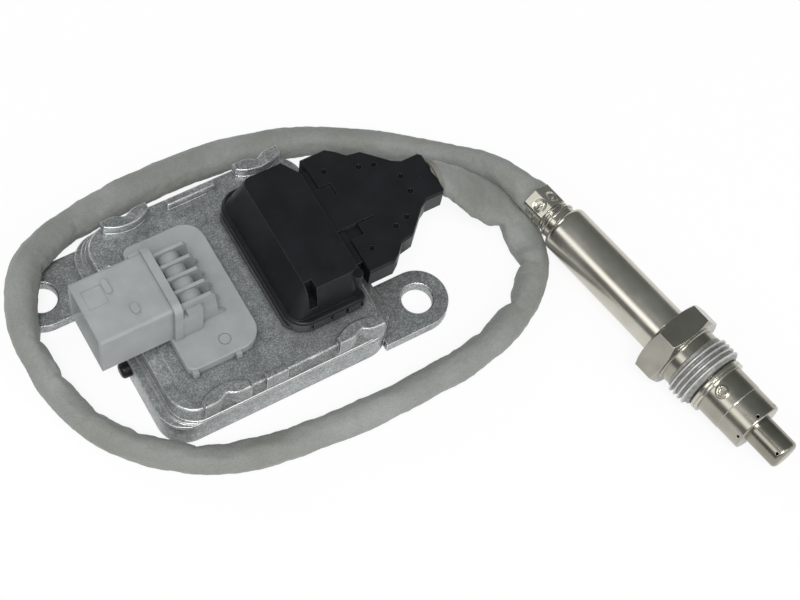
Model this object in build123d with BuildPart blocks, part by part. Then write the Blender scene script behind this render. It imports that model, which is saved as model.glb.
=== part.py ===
from build123d import *
import math
import os

os.makedirs("parts", exist_ok=True)

# Nitrogen oxide sensor: a control unit, a sleeved cable and a screw-in exhaust probe.
# Millimetres, +Z up. The origin is the middle of the control unit's underside, which lies at z = 0.

# Control unit: die-cast tray and cover
tray_length = 67.5
tray_width = 62.4
tray_corner = 8.0
tray_wall = 3.2
tray_floor = 2.2
parting_height = 8.9
flange_thickness = 0.9
plateau_height = 14.4
plateau_length = tray_length - 7.0
plateau_width = tray_width - 3.1
plateau_foot_length = tray_length - 6.2
plateau_foot_width = tray_width - 0.2
plateau_corner = 7.5
plateau_edge_round = 0.7
step_length = tray_length - 4.1
step_height = 0.7
cover_wall = 2.4
cover_top = 2.2
ear_hole_x = tray_length / 2 + 10.95
ear_hole_y = tray_width / 2 - 8.1
ear_hole_radius = 4.25
ear_hole_chamfer = 0.5
ear_radius = 8.6
ear_thickness = 3.6

# Cast lugs along the front and back edges of the cover
lug_places = (-17.0, 22.4)
lug_half_length = 6.7
lug_depth = 2.2
lug_bow = 2.2
lug_dip = 1.3
lug_dip_half_length = 3.8
lug_top = 17.2
lug_front_y = tray_width / 2 - 0.35
lug_back_y = tray_width / 2 - 1.25
lug_edge = 0.3
back_bar_x = 1.7
back_bar_length = 14.2
front_bar_x = -2.8
front_bar_length = 6.2
bar_depth = 2.1
bar_top = 16.8
back_bar_y = lug_back_y - 1.5
joint_edge = 0.25
strip_x = -plateau_length / 2 + 1.95
strip_width = 4.2
strip_length = 39.0
strip_y = -1.3
strip_depth = 0.25

# Seal, vent, board and what is on it
seal_width = 1.4
seal_height = 1.0
vent_y = -6.8
vent_z = 5.6
vent_stem_radius = 1.6
vent_head_radius = 2.2
vent_head_length = 2.6
board_clearance = 1.5
board_length = tray_length - 2 * (tray_wall + board_clearance)
board_width = tray_width - 2 * (tray_wall + board_clearance)
board_thickness = 1.6
board_underside = 5.6
board_corner = 3.0
boss_radius = 2.8
boss_inset = 4.2
pedestal_length = 15.0
pedestal_width = 16.0
pedestal_x = -2.0
pedestal_y = 10.0
pad_thickness = 0.8
processor_size = 12.0
processor_height = 1.4
processor_place = (-1.5, -10.0)
driver_places = ((-1.5, 4.0), (-1.5, 14.0), (18.5, -20.0))
capacitor_x = 18.0
capacitor_places = (-12.0, 12.0)
capacitor_radius = 1.9
capacitor_length = 7.0

# Grey supply socket, moulded in one with its base plate
socket_y = -0.2
plate_left = -22.7
plate_right = -0.9
plate_half_width = 20.0
plate_thickness = 3.0
plate_round_right = 6.0
plate_round_left = 2.4
side_rib_places = (-8.8, -21.2)
neck_depth = 3.0
neck_clearance = 0.2
supply_neck_length = 15.0
supply_neck_width = 30.0
shroud_end = -42.0
shroud_half_width = 9.45
shroud_bottom = 16.6
shroud_top = 33.0
shroud_wall = 1.5
shroud_depth = 18.0
collar_left = -21.9
collar_thickness = 2.3
collar_half_width = 10.5
collar_top = 34.1
collar_corner = 2.6
rib_count = 5
rib_pitch = 4.0
rib_thickness = 0.95
rib_top = 31.0
rib_end_top = -9.7
rib_end_round = 0.9
rib_end_low = -8.5
rib_foot = -6.0
rib_foot_height = 2.0
saddle_left = -18.1
saddle_right = -12.2
saddle_side_height = 28.2
saddle_crown = 30.2
cheek_right = -13.8
cheek_depth = 2.2
cheek_top = 28.8
cheek_notch = -18.1
cheek_notch_height = 1.4
pin_width = 1.5
pin_thickness = 0.8
supply_pin_z = 24.8
supply_pin_tip = -37.0
supply_pin_bend = -14.8
pin_below_board = 1.2
gasket_height = 1.0
gasket_width = 1.6
gasket_margin = 1.4

# Black sensor socket
sensor_y = -0.45
base_left = 6.0
base_right = 28.0
base_half_width = 22.5
base_thickness = 4.6
base_round_left = 6.0
base_round_right = 2.0
sensor_neck_length = 14.0
sensor_neck_width = 34.0
hood_foot_left = 7.0
hood_foot_right = 27.4
hood_foot_half_width = 20.6
hood_left = 11.8
hood_right = 26.8
hood_half_width = 18.4
hood_top = 29.6
hood_corner = 2.2
hood_cut_depth = 3.2
hood_cut_length = 5.0
corner_groove_width = 2.4
corner_groove_length = 2.8
corner_groove_depth = 7.6
post_radius = 1.5
post_top = 27.4
nose_half_width = 15.2
nose_bottom = 18.5
nose_height = 6.5
nose_length = 13.0
nose_clearance = 0.15
sensor_pin_count = 5
sensor_pin_pitch = 5.4
sensor_pin_z = 21.75
sensor_pin_bend = 10.6
sensor_pin_tip = 21.0
skirt_slot_width = 1.0
skirt_slot_depth = 0.7

# Black cable plug: two half shells round the leads
plug_left = 30.0
plug_half_width = 19.2
plug_end = 60.3
plug_end_cut = 1.0
plug_funnel = (
    (37.4, 19.2, 0.4),
    (39.6, 17.6, 0.8),
    (42.0, 15.1, 1.0),
    (45.8, 14.4, 1.0),
    (52.0, 8.2, 1.0),
    (54.2, 6.9, 1.0),
)
plug_top = 25.5
plug_bottom = 18.0
plug_wall = 1.4
plug_neck_half_width = 6.9
plug_edge_round = 0.8
plug_hole_radius = 0.75
latch_left = 27.3
latch_front_y = -5.2
latch_back_y = 8.6
latch_step_x = 33.5
latch_step_y = 4.9
latch_line_end = 39.2
latch_line_width = 0.35
latch_line_depth = 0.6
latch_notch_right = 34.3
latch_notch_width = 3.6
latch_notch_depth = 1.2
contact_length = 9.0
contact_width = 2.6
contact_height = 2.0
contact_clearance = 0.1
lead_opening_half_width = 12.6
lead_opening_height = 3.0
lead_radius = 0.65
lead_gather_pitch = 1.45
grommet_radius = 3.7
grommet_length = 4.2
grommet_collar_radius = 4.7
grommet_collar_length = 1.3

# Cable: a soft lay-flat sleeve over five leads
cable_diameter = 8.2

# Exhaust probe. Stations run along its axis from the rear face of the hexagon towards the tip.
probe_x = 97.0
probe_y = -67.2
probe_heading = -79.4
hex_flats = 22.0
hex_length = 7.0
hex_chamfer = 0.9
nut_collar_radius = 9.2
nut_collar_length = 3.5
thread_radius = 9.9
thread_length = 6.0
thread_chamfer = 0.6
nut_bore_radius = 6.85
running_clearance = 0.05
nut_end_gap = 0.3
seat_radius = 8.6
seat_length = 2.2
sleeve_radius = 7.0
sleeve_wall = 0.6
sleeve_start = -43.3
sleeve_neck_radius = 5.3
sleeve_shoulder = 1.8
stop_ring_radius = 7.3
stop_ring_length = 1.6
ferrule_start = -54.2
ferrule_radius = 5.1
ferrule_wall = 1.1
ferrule_length = 8.0
ferrule_sides = 6
ferrule_flats = 9.3
ferrule_turn = 23.0
ferrule_groove = 0.8
crimp_length = 4.2
crimp_width = 2.6
crimp_depth = 0.35
crimp_slit_length = 3.0
crimp_slit_width = 0.6
crimp_slit_depth = 0.15
bead_radius = 5.6
shield_radius = 7.67
shield_wall = 0.5
shield_length = 14.7
shield_step = 7.2
shield_step_depth = 0.12
shield_round = 1.0
dimple_count = 3
dimple_radius = 1.05
dimple_rim = 0.35
dimple_height = 0.12
dimple_depth = 0.15
dimple_station = 2.6
dimple_turn = -28.0
shield_holes = 6
shield_hole_turn = -12.0
inner_hole_turn = -43.0
shield_hole_radius = 0.45
shield_hole_from_end = 1.1
inner_radius = 4.38
inner_wall = 0.4
inner_reach = 10.5
inner_flange = 0.8
inner_round = 1.2
inner_hole_from_end = 1.2
element_width = 4.2
element_thickness = 1.4
element_rear = -30.0
element_tip_margin = 3.0
body_bore_radius = 5.2
talc_start = 3.0
talc_end = 8.0
clamp_length = 12.0
clamp_lead = 3.0

# Heights and places that follow from the sizes above
flange_top = parting_height + flange_thickness
plate_top = plateau_height + plate_thickness
base_top = plateau_height + base_thickness
plug_middle = (plug_top + plug_bottom) / 2
board_top = board_underside + board_thickness
rib_places = [socket_y + rib_pitch * (i - (rib_count - 1) / 2) for i in range(rib_count)]
supply_pin_places = [(a + b) / 2 for a, b in zip(rib_places, rib_places[1:])]
sensor_pin_places = [
    sensor_y + sensor_pin_pitch * (i - (sensor_pin_count - 1) / 2) for i in range(sensor_pin_count)
]
supply_neck_x = (plate_left + plate_right) / 2
sensor_neck_x = (base_left + base_right) / 2 - 1.5


def rounded_bar(x, y, length, width, corner):
    """Rounded rectangle face drawn in the open sketch, centred on x, y."""
    with Locations((x, y)):
        return RectangleRounded(length, width, corner)


def bent_pins(places, tip, bend, level, toward):
    """Flat pins that run level from the tip to the bend and then straight down to the board."""
    half = pin_thickness / 2
    foot = board_underside - pin_below_board
    with BuildPart() as pins:
        for place in places:
            with BuildSketch(Plane.XZ.offset(-place)):
                with BuildLine():
                    Polyline(
                        (tip, level + half),
                        (bend + toward * half, level + half),
                        (bend + toward * half, foot),
                        (bend - toward * half, foot),
                        (bend - toward * half, level - half),
                        (tip, level - half),
                        close=True,
                    )
                make_face()
            extrude(amount=pin_width / 2, both=True)
    return pins


def neck_gasket(x, y, length, width):
    """Gasket frame that lies round a socket's neck, between the cover and the socket."""
    inside = 2 * gasket_margin
    outside = inside + 2 * gasket_width
    with BuildPart() as gasket:
        with BuildSketch(Plane.XY.offset(plateau_height)):
            rounded_bar(x, y, length + outside, width + outside, 3.0)
            with Locations((x, y)):
                RectangleRounded(length + inside, width + inside, 2.0, mode=Mode.SUBTRACT)
        extrude(amount=gasket_height)
    return gasket


def edge_lug(centre, side, reach):
    """Outline of one cast lug: bowed on its inner side, with a dip in its outer side."""
    outer = side * reach
    inner = side * (reach - lug_depth)
    with BuildSketch() as outline:
        with BuildLine():
            ThreePointArc(
                (centre - lug_half_length, inner),
                (centre, inner - side * lug_bow),
                (centre + lug_half_length, inner),
            )
            Line((centre + lug_half_length, inner), (centre + lug_half_length, outer))
            Line((centre + lug_half_length, outer), (centre + lug_dip_half_length, outer))
            Spline(
                (centre + lug_dip_half_length, outer),
                (centre, outer - side * lug_dip),
                (centre - lug_dip_half_length, outer),
                tangents=[(-1, 0), (-1, 0)],
            )
            Line((centre - lug_dip_half_length, outer), (centre - lug_half_length, outer))
            Line((centre - lug_half_length, outer), (centre - lug_half_length, inner))
        make_face()
    return outline.sketch


# Pins first, because the sockets are moulded round them and the board is drilled for them.
supply_pins = bent_pins(supply_pin_places, supply_pin_tip, supply_pin_bend, supply_pin_z, 1)
sensor_pins = bent_pins(sensor_pin_places, sensor_pin_tip, sensor_pin_bend, sensor_pin_z, -1)

# Tray: floor, walls and two diagonal ears flush with the underside.
seal_line = tray_wall / 2
with BuildPart() as housing_tray:
    with BuildSketch():
        RectangleRounded(tray_length, tray_width, tray_corner)
    extrude(amount=parting_height)
    chamfer(housing_tray.faces().sort_by(Axis.Z)[-1].edges(), joint_edge)
    with BuildSketch():
        for side in (1, -1):
            root = tray_length / 2 - tray_wall
            with Locations((side * (root + ear_hole_x) / 2, -side * ear_hole_y)):
                Rectangle(ear_hole_x - root, 2 * ear_radius)
            with Locations((side * ear_hole_x, -side * ear_hole_y)):
                Circle(ear_radius)
    extrude(amount=ear_thickness)
    with BuildSketch():
        with Locations((ear_hole_x, -ear_hole_y), (-ear_hole_x, ear_hole_y)):
            Circle(ear_hole_radius)
    extrude(amount=ear_thickness, mode=Mode.SUBTRACT)
    bore_rims = housing_tray.edges().filter_by(GeomType.CIRCLE).filter_by(
        lambda edge: abs(edge.radius - ear_hole_radius) < 0.001
    )
    chamfer(bore_rims, ear_hole_chamfer)
    with BuildSketch(Plane.XY.offset(tray_floor)):
        RectangleRounded(
            tray_length - 2 * tray_wall, tray_width - 2 * tray_wall, tray_corner - tray_wall
        )
    extrude(amount=parting_height - tray_floor, mode=Mode.SUBTRACT)
    with BuildSketch(Plane.XY.offset(tray_floor)):
        with GridLocations(board_length - 2 * boss_inset, board_width - 2 * boss_inset, 2, 2):
            Circle(boss_radius)
    extrude(amount=board_underside - tray_floor)
    with BuildSketch(Plane.XY.offset(tray_floor)):
        rounded_bar(pedestal_x, pedestal_y, pedestal_length, pedestal_width, 1.0)
    extrude(amount=board_underside - pad_thickness - tray_floor)
    with BuildSketch(Plane.XY.offset(parting_height - seal_height)):
        RectangleRounded(
            tray_length - 2 * seal_line + seal_width,
            tray_width - 2 * seal_line + seal_width,
            tray_corner - seal_line + seal_width / 2,
        )
        RectangleRounded(
            tray_length - 2 * seal_line - seal_width,
            tray_width - 2 * seal_line - seal_width,
            tray_corner - seal_line - seal_width / 2,
            mode=Mode.SUBTRACT,
        )
    extrude(amount=seal_height, mode=Mode.SUBTRACT)
    with BuildSketch(Plane.YZ.offset(-tray_length / 2)):
        with Locations((vent_y, vent_z)):
            Circle(vent_stem_radius)
    extrude(amount=tray_wall, mode=Mode.SUBTRACT)

# Sealing cord in the tray's groove.
with BuildPart() as housing_seal:
    with BuildSketch(Plane.XY.offset(parting_height - seal_height)):
        RectangleRounded(
            tray_length - 2 * seal_line + seal_width,
            tray_width - 2 * seal_line + seal_width,
            tray_corner - seal_line + seal_width / 2,
        )
        RectangleRounded(
            tray_length - 2 * seal_line - seal_width,
            tray_width - 2 * seal_line - seal_width,
            tray_corner - seal_line - seal_width / 2,
            mode=Mode.SUBTRACT,
        )
    extrude(amount=seal_height)

# Pressure vent: a rounded black cap whose stem fills the hole in the tray's left wall.
with BuildPart() as vent_plug:
    with BuildSketch(Plane.YZ.offset(-tray_length / 2)):
        with Locations((vent_y, vent_z)):
            Circle(vent_stem_radius)
    extrude(amount=tray_wall)
    with BuildSketch(Plane.YZ.offset(-tray_length / 2)):
        with Locations((vent_y, vent_z)):
            Circle(vent_head_radius)
    extrude(amount=-vent_head_length)
    fillet(vent_plug.faces().sort_by(Axis.X)[0].edges(), vent_head_length * 0.4)

# Cover: thin flange, raised plateau with sloping front and back walls, cast lugs and bars.
lug_sides = ((1, lug_back_y), (-1, lug_front_y))
lug_outlines = [edge_lug(place, *side) for place in lug_places for side in lug_sides]
with BuildPart() as housing_cover:
    with BuildSketch(Plane.XY.offset(flange_top)):
        RectangleRounded(plateau_foot_length, plateau_foot_width, plateau_corner)
    with BuildSketch(Plane.XY.offset(plateau_height)):
        RectangleRounded(plateau_length, plateau_width, plateau_corner)
    loft()
    fillet(housing_cover.faces().sort_by(Axis.Z)[-1].edges(), plateau_edge_round)
    with BuildSketch(Plane.XY.offset(parting_height)):
        RectangleRounded(tray_length, tray_width, tray_corner)
    extrude(amount=flange_thickness)
    chamfer(housing_cover.faces().sort_by(Axis.Z)[0].edges(), joint_edge)
    with BuildSketch(Plane.XY.offset(flange_top)):
        RectangleRounded(step_length, plateau_foot_width, plateau_corner)
    extrude(amount=step_height)
    with BuildSketch(Plane.XY.offset(flange_top)):
        add(lug_outlines)
    extrude(amount=lug_top - flange_top)
    chamfer(housing_cover.faces().group_by(Axis.Z)[-1].edges(), lug_edge)
    with BuildSketch(Plane.XY.offset(flange_top)):
        with Locations((back_bar_x, back_bar_y - bar_depth / 2)):
            Rectangle(back_bar_length, bar_depth)
        with Locations((front_bar_x, bar_depth / 2 - lug_front_y)):
            Rectangle(front_bar_length, bar_depth)
    extrude(amount=bar_top - flange_top)
    bar_rims = housing_cover.edges().filter_by_position(Axis.Z, bar_top - 0.01, bar_top + 0.01)
    chamfer(bar_rims, lug_edge)
    with BuildSketch(Plane.XY.offset(parting_height)):
        RectangleRounded(
            plateau_length - 2 * cover_wall,
            plateau_width - 2 * cover_wall,
            plateau_corner - cover_wall,
        )
    extrude(amount=plateau_height - cover_top - parting_height, mode=Mode.SUBTRACT)
    with BuildSketch(Plane.XY.offset(plateau_height - cover_top)):
        rounded_bar(supply_neck_x, socket_y, supply_neck_length, supply_neck_width, 2.0)
        rounded_bar(sensor_neck_x, sensor_y, sensor_neck_length, sensor_neck_width, 2.0)
    extrude(amount=cover_top, mode=Mode.SUBTRACT)
    with BuildSketch(Plane.XY.offset(plateau_height - strip_depth)):
        rounded_bar(strip_x, strip_y, strip_width, strip_length, 0.8)
    extrude(amount=strip_depth, mode=Mode.SUBTRACT)

# Circuit board on the tray's bosses, drilled for the pins.
with BuildPart() as circuit_board:
    with BuildSketch(Plane.XY.offset(board_underside)):
        RectangleRounded(board_length, board_width, board_corner)
    extrude(amount=board_thickness)
    add(supply_pins.part, mode=Mode.SUBTRACT)
    add(sensor_pins.part, mode=Mode.SUBTRACT)

# Thermal pad between the board and the tray's pedestal.
with BuildPart() as thermal_pad:
    with BuildSketch(Plane.XY.offset(board_underside - pad_thickness)):
        rounded_bar(pedestal_x, pedestal_y, pedestal_length, pedestal_width, 1.0)
    extrude(amount=pad_thickness)

# Processor with its legs inside one flat package.
with BuildPart() as processor:
    with BuildSketch(Plane.XY.offset(board_top)):
        with Locations(processor_place):
            Rectangle(processor_size, processor_size)
    extrude(amount=processor_height)
    chamfer(processor.faces().sort_by(Axis.Z)[-1].edges(), 0.3)

# Driver chips that heat and read the probe.
with BuildPart() as driver_chips:
    with BuildSketch(Plane.XY.offset(board_top)):
        with Locations(*driver_places):
            Rectangle(7.0, 5.0)
    extrude(amount=processor_height)

# Two storage capacitors lying on the board.
with BuildPart() as storage_capacitors:
    for place in capacitor_places:
        with BuildSketch(Plane.YZ.offset(capacitor_x)):
            with Locations((place, board_top + capacitor_radius)):
                Circle(capacitor_radius)
        extrude(amount=capacitor_length)

# Gasket frames under the two sockets.
supply_gasket = neck_gasket(supply_neck_x, socket_y, supply_neck_length, supply_neck_width)
sensor_gasket = neck_gasket(sensor_neck_x, sensor_y, sensor_neck_length, sensor_neck_width)

# Grey supply socket.
with BuildPart() as supply_socket:
    with BuildSketch(Plane.XY.offset(plateau_height)) as plate_outline:
        with Locations(((plate_left + plate_right) / 2, socket_y)):
            Rectangle(plate_right - plate_left, 2 * plate_half_width)
        fillet(plate_outline.vertices().group_by(Axis.X)[-1], plate_round_right)
        fillet(plate_outline.vertices().group_by(Axis.X)[0], plate_round_left)
    extrude(amount=plate_thickness)
    fillet(supply_socket.faces().sort_by(Axis.Z)[-1].edges(), 0.4)
    with BuildSketch(Plane.XY.offset(plateau_height - neck_depth)):
        rounded_bar(
            supply_neck_x,
            socket_y,
            supply_neck_length - 2 * neck_clearance,
            supply_neck_width - 2 * neck_clearance,
            2.0 - neck_clearance,
        )
    extrude(amount=neck_depth)
    # two small ribs on the plate's front edge
    with BuildSketch(Plane.XY.offset(plateau_height)):
        for place in side_rib_places:
            with Locations((place, socket_y - plate_half_width - 0.2)):
                Rectangle(1.6, 1.6)
    extrude(amount=plate_thickness - 0.6)
    # upright collar wall behind the shroud
    with BuildSketch(Plane.YZ.offset(collar_left)) as collar_outline:
        with Locations((socket_y, (plateau_height + collar_top) / 2)):
            Rectangle(2 * collar_half_width, collar_top - plateau_height)
        fillet(collar_outline.vertices().group_by(Axis.Y)[-1], collar_corner)
    extrude(amount=collar_thickness)
    # open shroud
    with BuildSketch(Plane.YZ.offset(shroud_end)):
        with Locations((socket_y, (shroud_bottom + shroud_top) / 2)):
            RectangleRounded(2 * shroud_half_width, shroud_top - shroud_bottom, 0.9)
    extrude(amount=collar_left - shroud_end)
    with BuildSketch(Plane.YZ.offset(shroud_end)):
        with Locations((socket_y, (shroud_bottom + shroud_top) / 2)):
            RectangleRounded(
                2 * (shroud_half_width - shroud_wall),
                shroud_top - shroud_bottom - 2 * shroud_wall,
                0.8,
            )
    extrude(amount=shroud_depth, mode=Mode.SUBTRACT)
    # rear gusset on the shroud's back side
    with BuildSketch(Plane.XY.offset(shroud_bottom)):
        with Locations((collar_left - 1.6, socket_y + shroud_half_width)):
            Rectangle(3.2, 1.6)
    extrude(amount=shroud_top - shroud_bottom - 0.4)
    # coding ribs on the shroud's roof inside
    with BuildSketch(Plane.YZ.offset(shroud_end + 2.0)):
        with Locations(
            (socket_y - 4.0, shroud_top - shroud_wall - 0.6),
            (socket_y + 4.0, shroud_top - shroud_wall - 0.6),
        ):
            Rectangle(1.2, 1.6)
    extrude(amount=shroud_depth - 2.0)
    # oval pads and the shallow field on the roof
    with BuildSketch(Plane.XY.offset(shroud_top)):
        rounded_bar(-33.7, socket_y + 4.4, 1.7, 4.4, 0.8)
        rounded_bar(-30.0, socket_y - 4.4, 2.0, 3.0, 0.9)
    extrude(amount=0.5)
    with BuildSketch(Plane.XY.offset(shroud_top - 0.15)):
        with Locations((-37.6, socket_y + 3.0)):
            Rectangle(5.4, 5.6)
    extrude(amount=0.15, mode=Mode.SUBTRACT)
    # five thin ribs with sloping ends
    collar_right = collar_left + collar_thickness
    for place in rib_places:
        with BuildSketch(Plane.XZ.offset(-place)):
            with BuildLine():
                Polyline(
                    (collar_right, plate_top),
                    (collar_right, rib_top),
                    (rib_end_top - rib_end_round, rib_top),
                    (rib_end_top, rib_top - rib_end_round),
                    (rib_end_low, plate_top + rib_foot_height),
                    (rib_foot, plate_top),
                    close=True,
                )
            make_face()
        extrude(amount=rib_thickness / 2, both=True)
    # saddle with a round back between the ribs
    with BuildSketch(Plane.XZ.offset(-socket_y)):
        with BuildLine():
            Line((saddle_left, plate_top), (saddle_left, saddle_side_height))
            ThreePointArc(
                (saddle_left, saddle_side_height),
                ((saddle_left + saddle_right) / 2, saddle_crown),
                (saddle_right, saddle_side_height),
            )
            Line((saddle_right, saddle_side_height), (saddle_right, plate_top))
            Line((saddle_right, plate_top), (saddle_left, plate_top))
        make_face()
    extrude(amount=rib_pitch * (rib_count - 1) / 2, both=True)
    # stepped cheek in front of the ribs
    cheek_y = rib_places[0] - cheek_depth / 2
    with BuildSketch(Plane.XZ.offset(-cheek_y)):
        with BuildLine():
            Polyline(
                (collar_right, plate_top),
                (collar_right, cheek_top - cheek_notch_height),
                (cheek_notch, cheek_top - cheek_notch_height),
                (cheek_notch, cheek_top),
                (cheek_right, cheek_top),
                (cheek_right, plate_top),
                close=True,
            )
        make_face()
    extrude(amount=cheek_depth / 2, both=True)
    add(supply_pins.part, mode=Mode.SUBTRACT)
    add(supply_gasket.part, mode=Mode.SUBTRACT)

# Black sensor socket: flanged base and a sloping hood that takes the plug's nose.
with BuildPart() as sensor_socket:
    with BuildSketch(Plane.XY.offset(plateau_height)) as base_outline:
        with Locations(((base_left + base_right) / 2, sensor_y)):
            Rectangle(base_right - base_left, 2 * base_half_width)
        fillet(base_outline.vertices().group_by(Axis.X)[0], base_round_left)
        fillet(base_outline.vertices().group_by(Axis.X)[-1], base_round_right)
    extrude(amount=base_thickness)
    fillet(sensor_socket.faces().sort_by(Axis.Z)[-1].edges(), 0.8)
    with BuildSketch(Plane.XY.offset(base_top)):
        rounded_bar(
            (hood_foot_left + hood_foot_right) / 2,
            sensor_y,
            hood_foot_right - hood_foot_left,
            2 * hood_foot_half_width,
            hood_corner + 1.2,
        )
    with BuildSketch(Plane.XY.offset(hood_top)):
        rounded_bar(
            (hood_left + hood_right) / 2,
            sensor_y,
            hood_right - hood_left,
            2 * hood_half_width,
            hood_corner,
        )
    loft()
    # cut-back rear right corner of the hood
    with BuildSketch(Plane.XY.offset(base_top)):
        with BuildLine():
            Polyline(
                (hood_right - hood_cut_depth, sensor_y + hood_foot_half_width + 1),
                (hood_right - hood_cut_depth, sensor_y + hood_half_width),
                (hood_right, sensor_y + hood_half_width - hood_cut_length),
                (hood_foot_right + 1, sensor_y + hood_half_width - hood_cut_length),
                (hood_foot_right + 1, sensor_y + hood_foot_half_width + 1),
                close=True,
            )
        make_face()
    extrude(amount=hood_top - base_top, mode=Mode.SUBTRACT)
    # upright groove in the front left corner
    with BuildSketch(Plane.XY.offset(hood_top - corner_groove_depth)):
        with Locations(
            (
                hood_left + corner_groove_width / 2,
                sensor_y - hood_half_width + corner_groove_length / 2 - 1.4,
            )
        ):
            Rectangle(corner_groove_width, corner_groove_length + 2.8)
    extrude(amount=corner_groove_depth, mode=Mode.SUBTRACT)
    # small round post at the front right corner
    with BuildSketch(Plane.XY.offset(base_top)):
        with Locations((hood_right - 0.4, sensor_y - hood_half_width - 0.2)):
            Circle(post_radius)
    extrude(amount=post_top - base_top)
    with BuildSketch(Plane.XY.offset(plateau_height - neck_depth)):
        rounded_bar(
            sensor_neck_x,
            sensor_y,
            sensor_neck_length - 2 * neck_clearance,
            sensor_neck_width - 2 * neck_clearance,
            2.0 - neck_clearance,
        )
    extrude(amount=neck_depth)
    # mouth for the plug's nose, open to the right
    mouth_left = plug_left - nose_length - nose_clearance
    with BuildSketch(Plane.YZ.offset(mouth_left)):
        with Locations((sensor_y, nose_bottom + nose_height / 2)):
            Rectangle(
                2 * (nose_half_width + nose_clearance), nose_height + 2 * nose_clearance
            )
    extrude(amount=base_right + 1 - mouth_left, mode=Mode.SUBTRACT)
    # upright slots along the skirt's front
    with BuildSketch(Plane.XY.offset(plateau_height)):
        for place in (11.6, 17.4, 22.0, 26.4):
            with Locations((place, sensor_y - base_half_width)):
                Rectangle(skirt_slot_width, 2 * skirt_slot_depth)
    extrude(amount=base_thickness - 1.0, mode=Mode.SUBTRACT)
    add(sensor_pins.part, mode=Mode.SUBTRACT)
    add(sensor_gasket.part, mode=Mode.SUBTRACT)

# Plug contacts: box sockets on the pins, inside the nose.
with BuildPart() as plug_contacts:
    contact_left = sensor_pin_tip - contact_length / 2 + 1.5
    for place in sensor_pin_places:
        with BuildSketch(Plane.YZ.offset(contact_left)):
            with Locations((place, sensor_pin_z)):
                Rectangle(contact_width, contact_height)
        extrude(amount=contact_length)
        with BuildSketch(Plane.YZ.offset(contact_left)):
            with Locations((place, sensor_pin_z)):
                Rectangle(
                    pin_width + 2 * contact_clearance, pin_thickness + 2 * contact_clearance
                )
        extrude(amount=contact_length * 0.6, mode=Mode.SUBTRACT)

# Plug nose: the contact carrier that fills the socket's mouth.
with BuildPart() as plug_nose:
    with BuildSketch(Plane.YZ.offset(plug_left - nose_length)):
        with Locations((sensor_y, nose_bottom + nose_height / 2)):
            Rectangle(2 * nose_half_width, nose_height)
    extrude(amount=nose_length)
    chamfer(plug_nose.faces().sort_by(Axis.X)[0].edges(), 0.4)
    with BuildSketch(Plane.YZ.offset(plug_left - nose_length)):
        for place in sensor_pin_places:
            with Locations((place, sensor_pin_z)):
                Rectangle(
                    pin_width + 2 * contact_clearance, pin_thickness + 2 * contact_clearance
                )
    extrude(amount=nose_length - 1, mode=Mode.SUBTRACT)
    with BuildSketch(Plane.YZ.offset(contact_left)):
        for place in sensor_pin_places:
            with Locations((place, sensor_pin_z)):
                Rectangle(contact_width, contact_height)
    extrude(amount=plug_left - contact_left, mode=Mode.SUBTRACT)


def plug_outline(inset):
    """Funnel outline of the plug shells; inset takes it inwards."""
    neck = plug_neck_half_width - inset
    end = plug_end - inset
    upper = [(plug_left + inset, plug_half_width - inset)]
    upper += [(x - share * inset, half - inset) for x, half, share in plug_funnel]
    upper += [(end - plug_end_cut, neck), (end, neck - plug_end_cut)]
    points = [(x, sensor_y + y) for x, y in upper]
    points += [(x, sensor_y - y) for x, y in reversed(upper)]
    with BuildSketch() as outline:
        with BuildLine():
            Polyline(*points, close=True)
        make_face()
    return outline.sketch


plug_hole_places = [(34.0, 13.0), (43.0, 10.1), (46.9, 9.0), (51.7, 2.6)]
plug_outer = plug_outline(0.0)
plug_inner = plug_outline(plug_wall)

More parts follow.
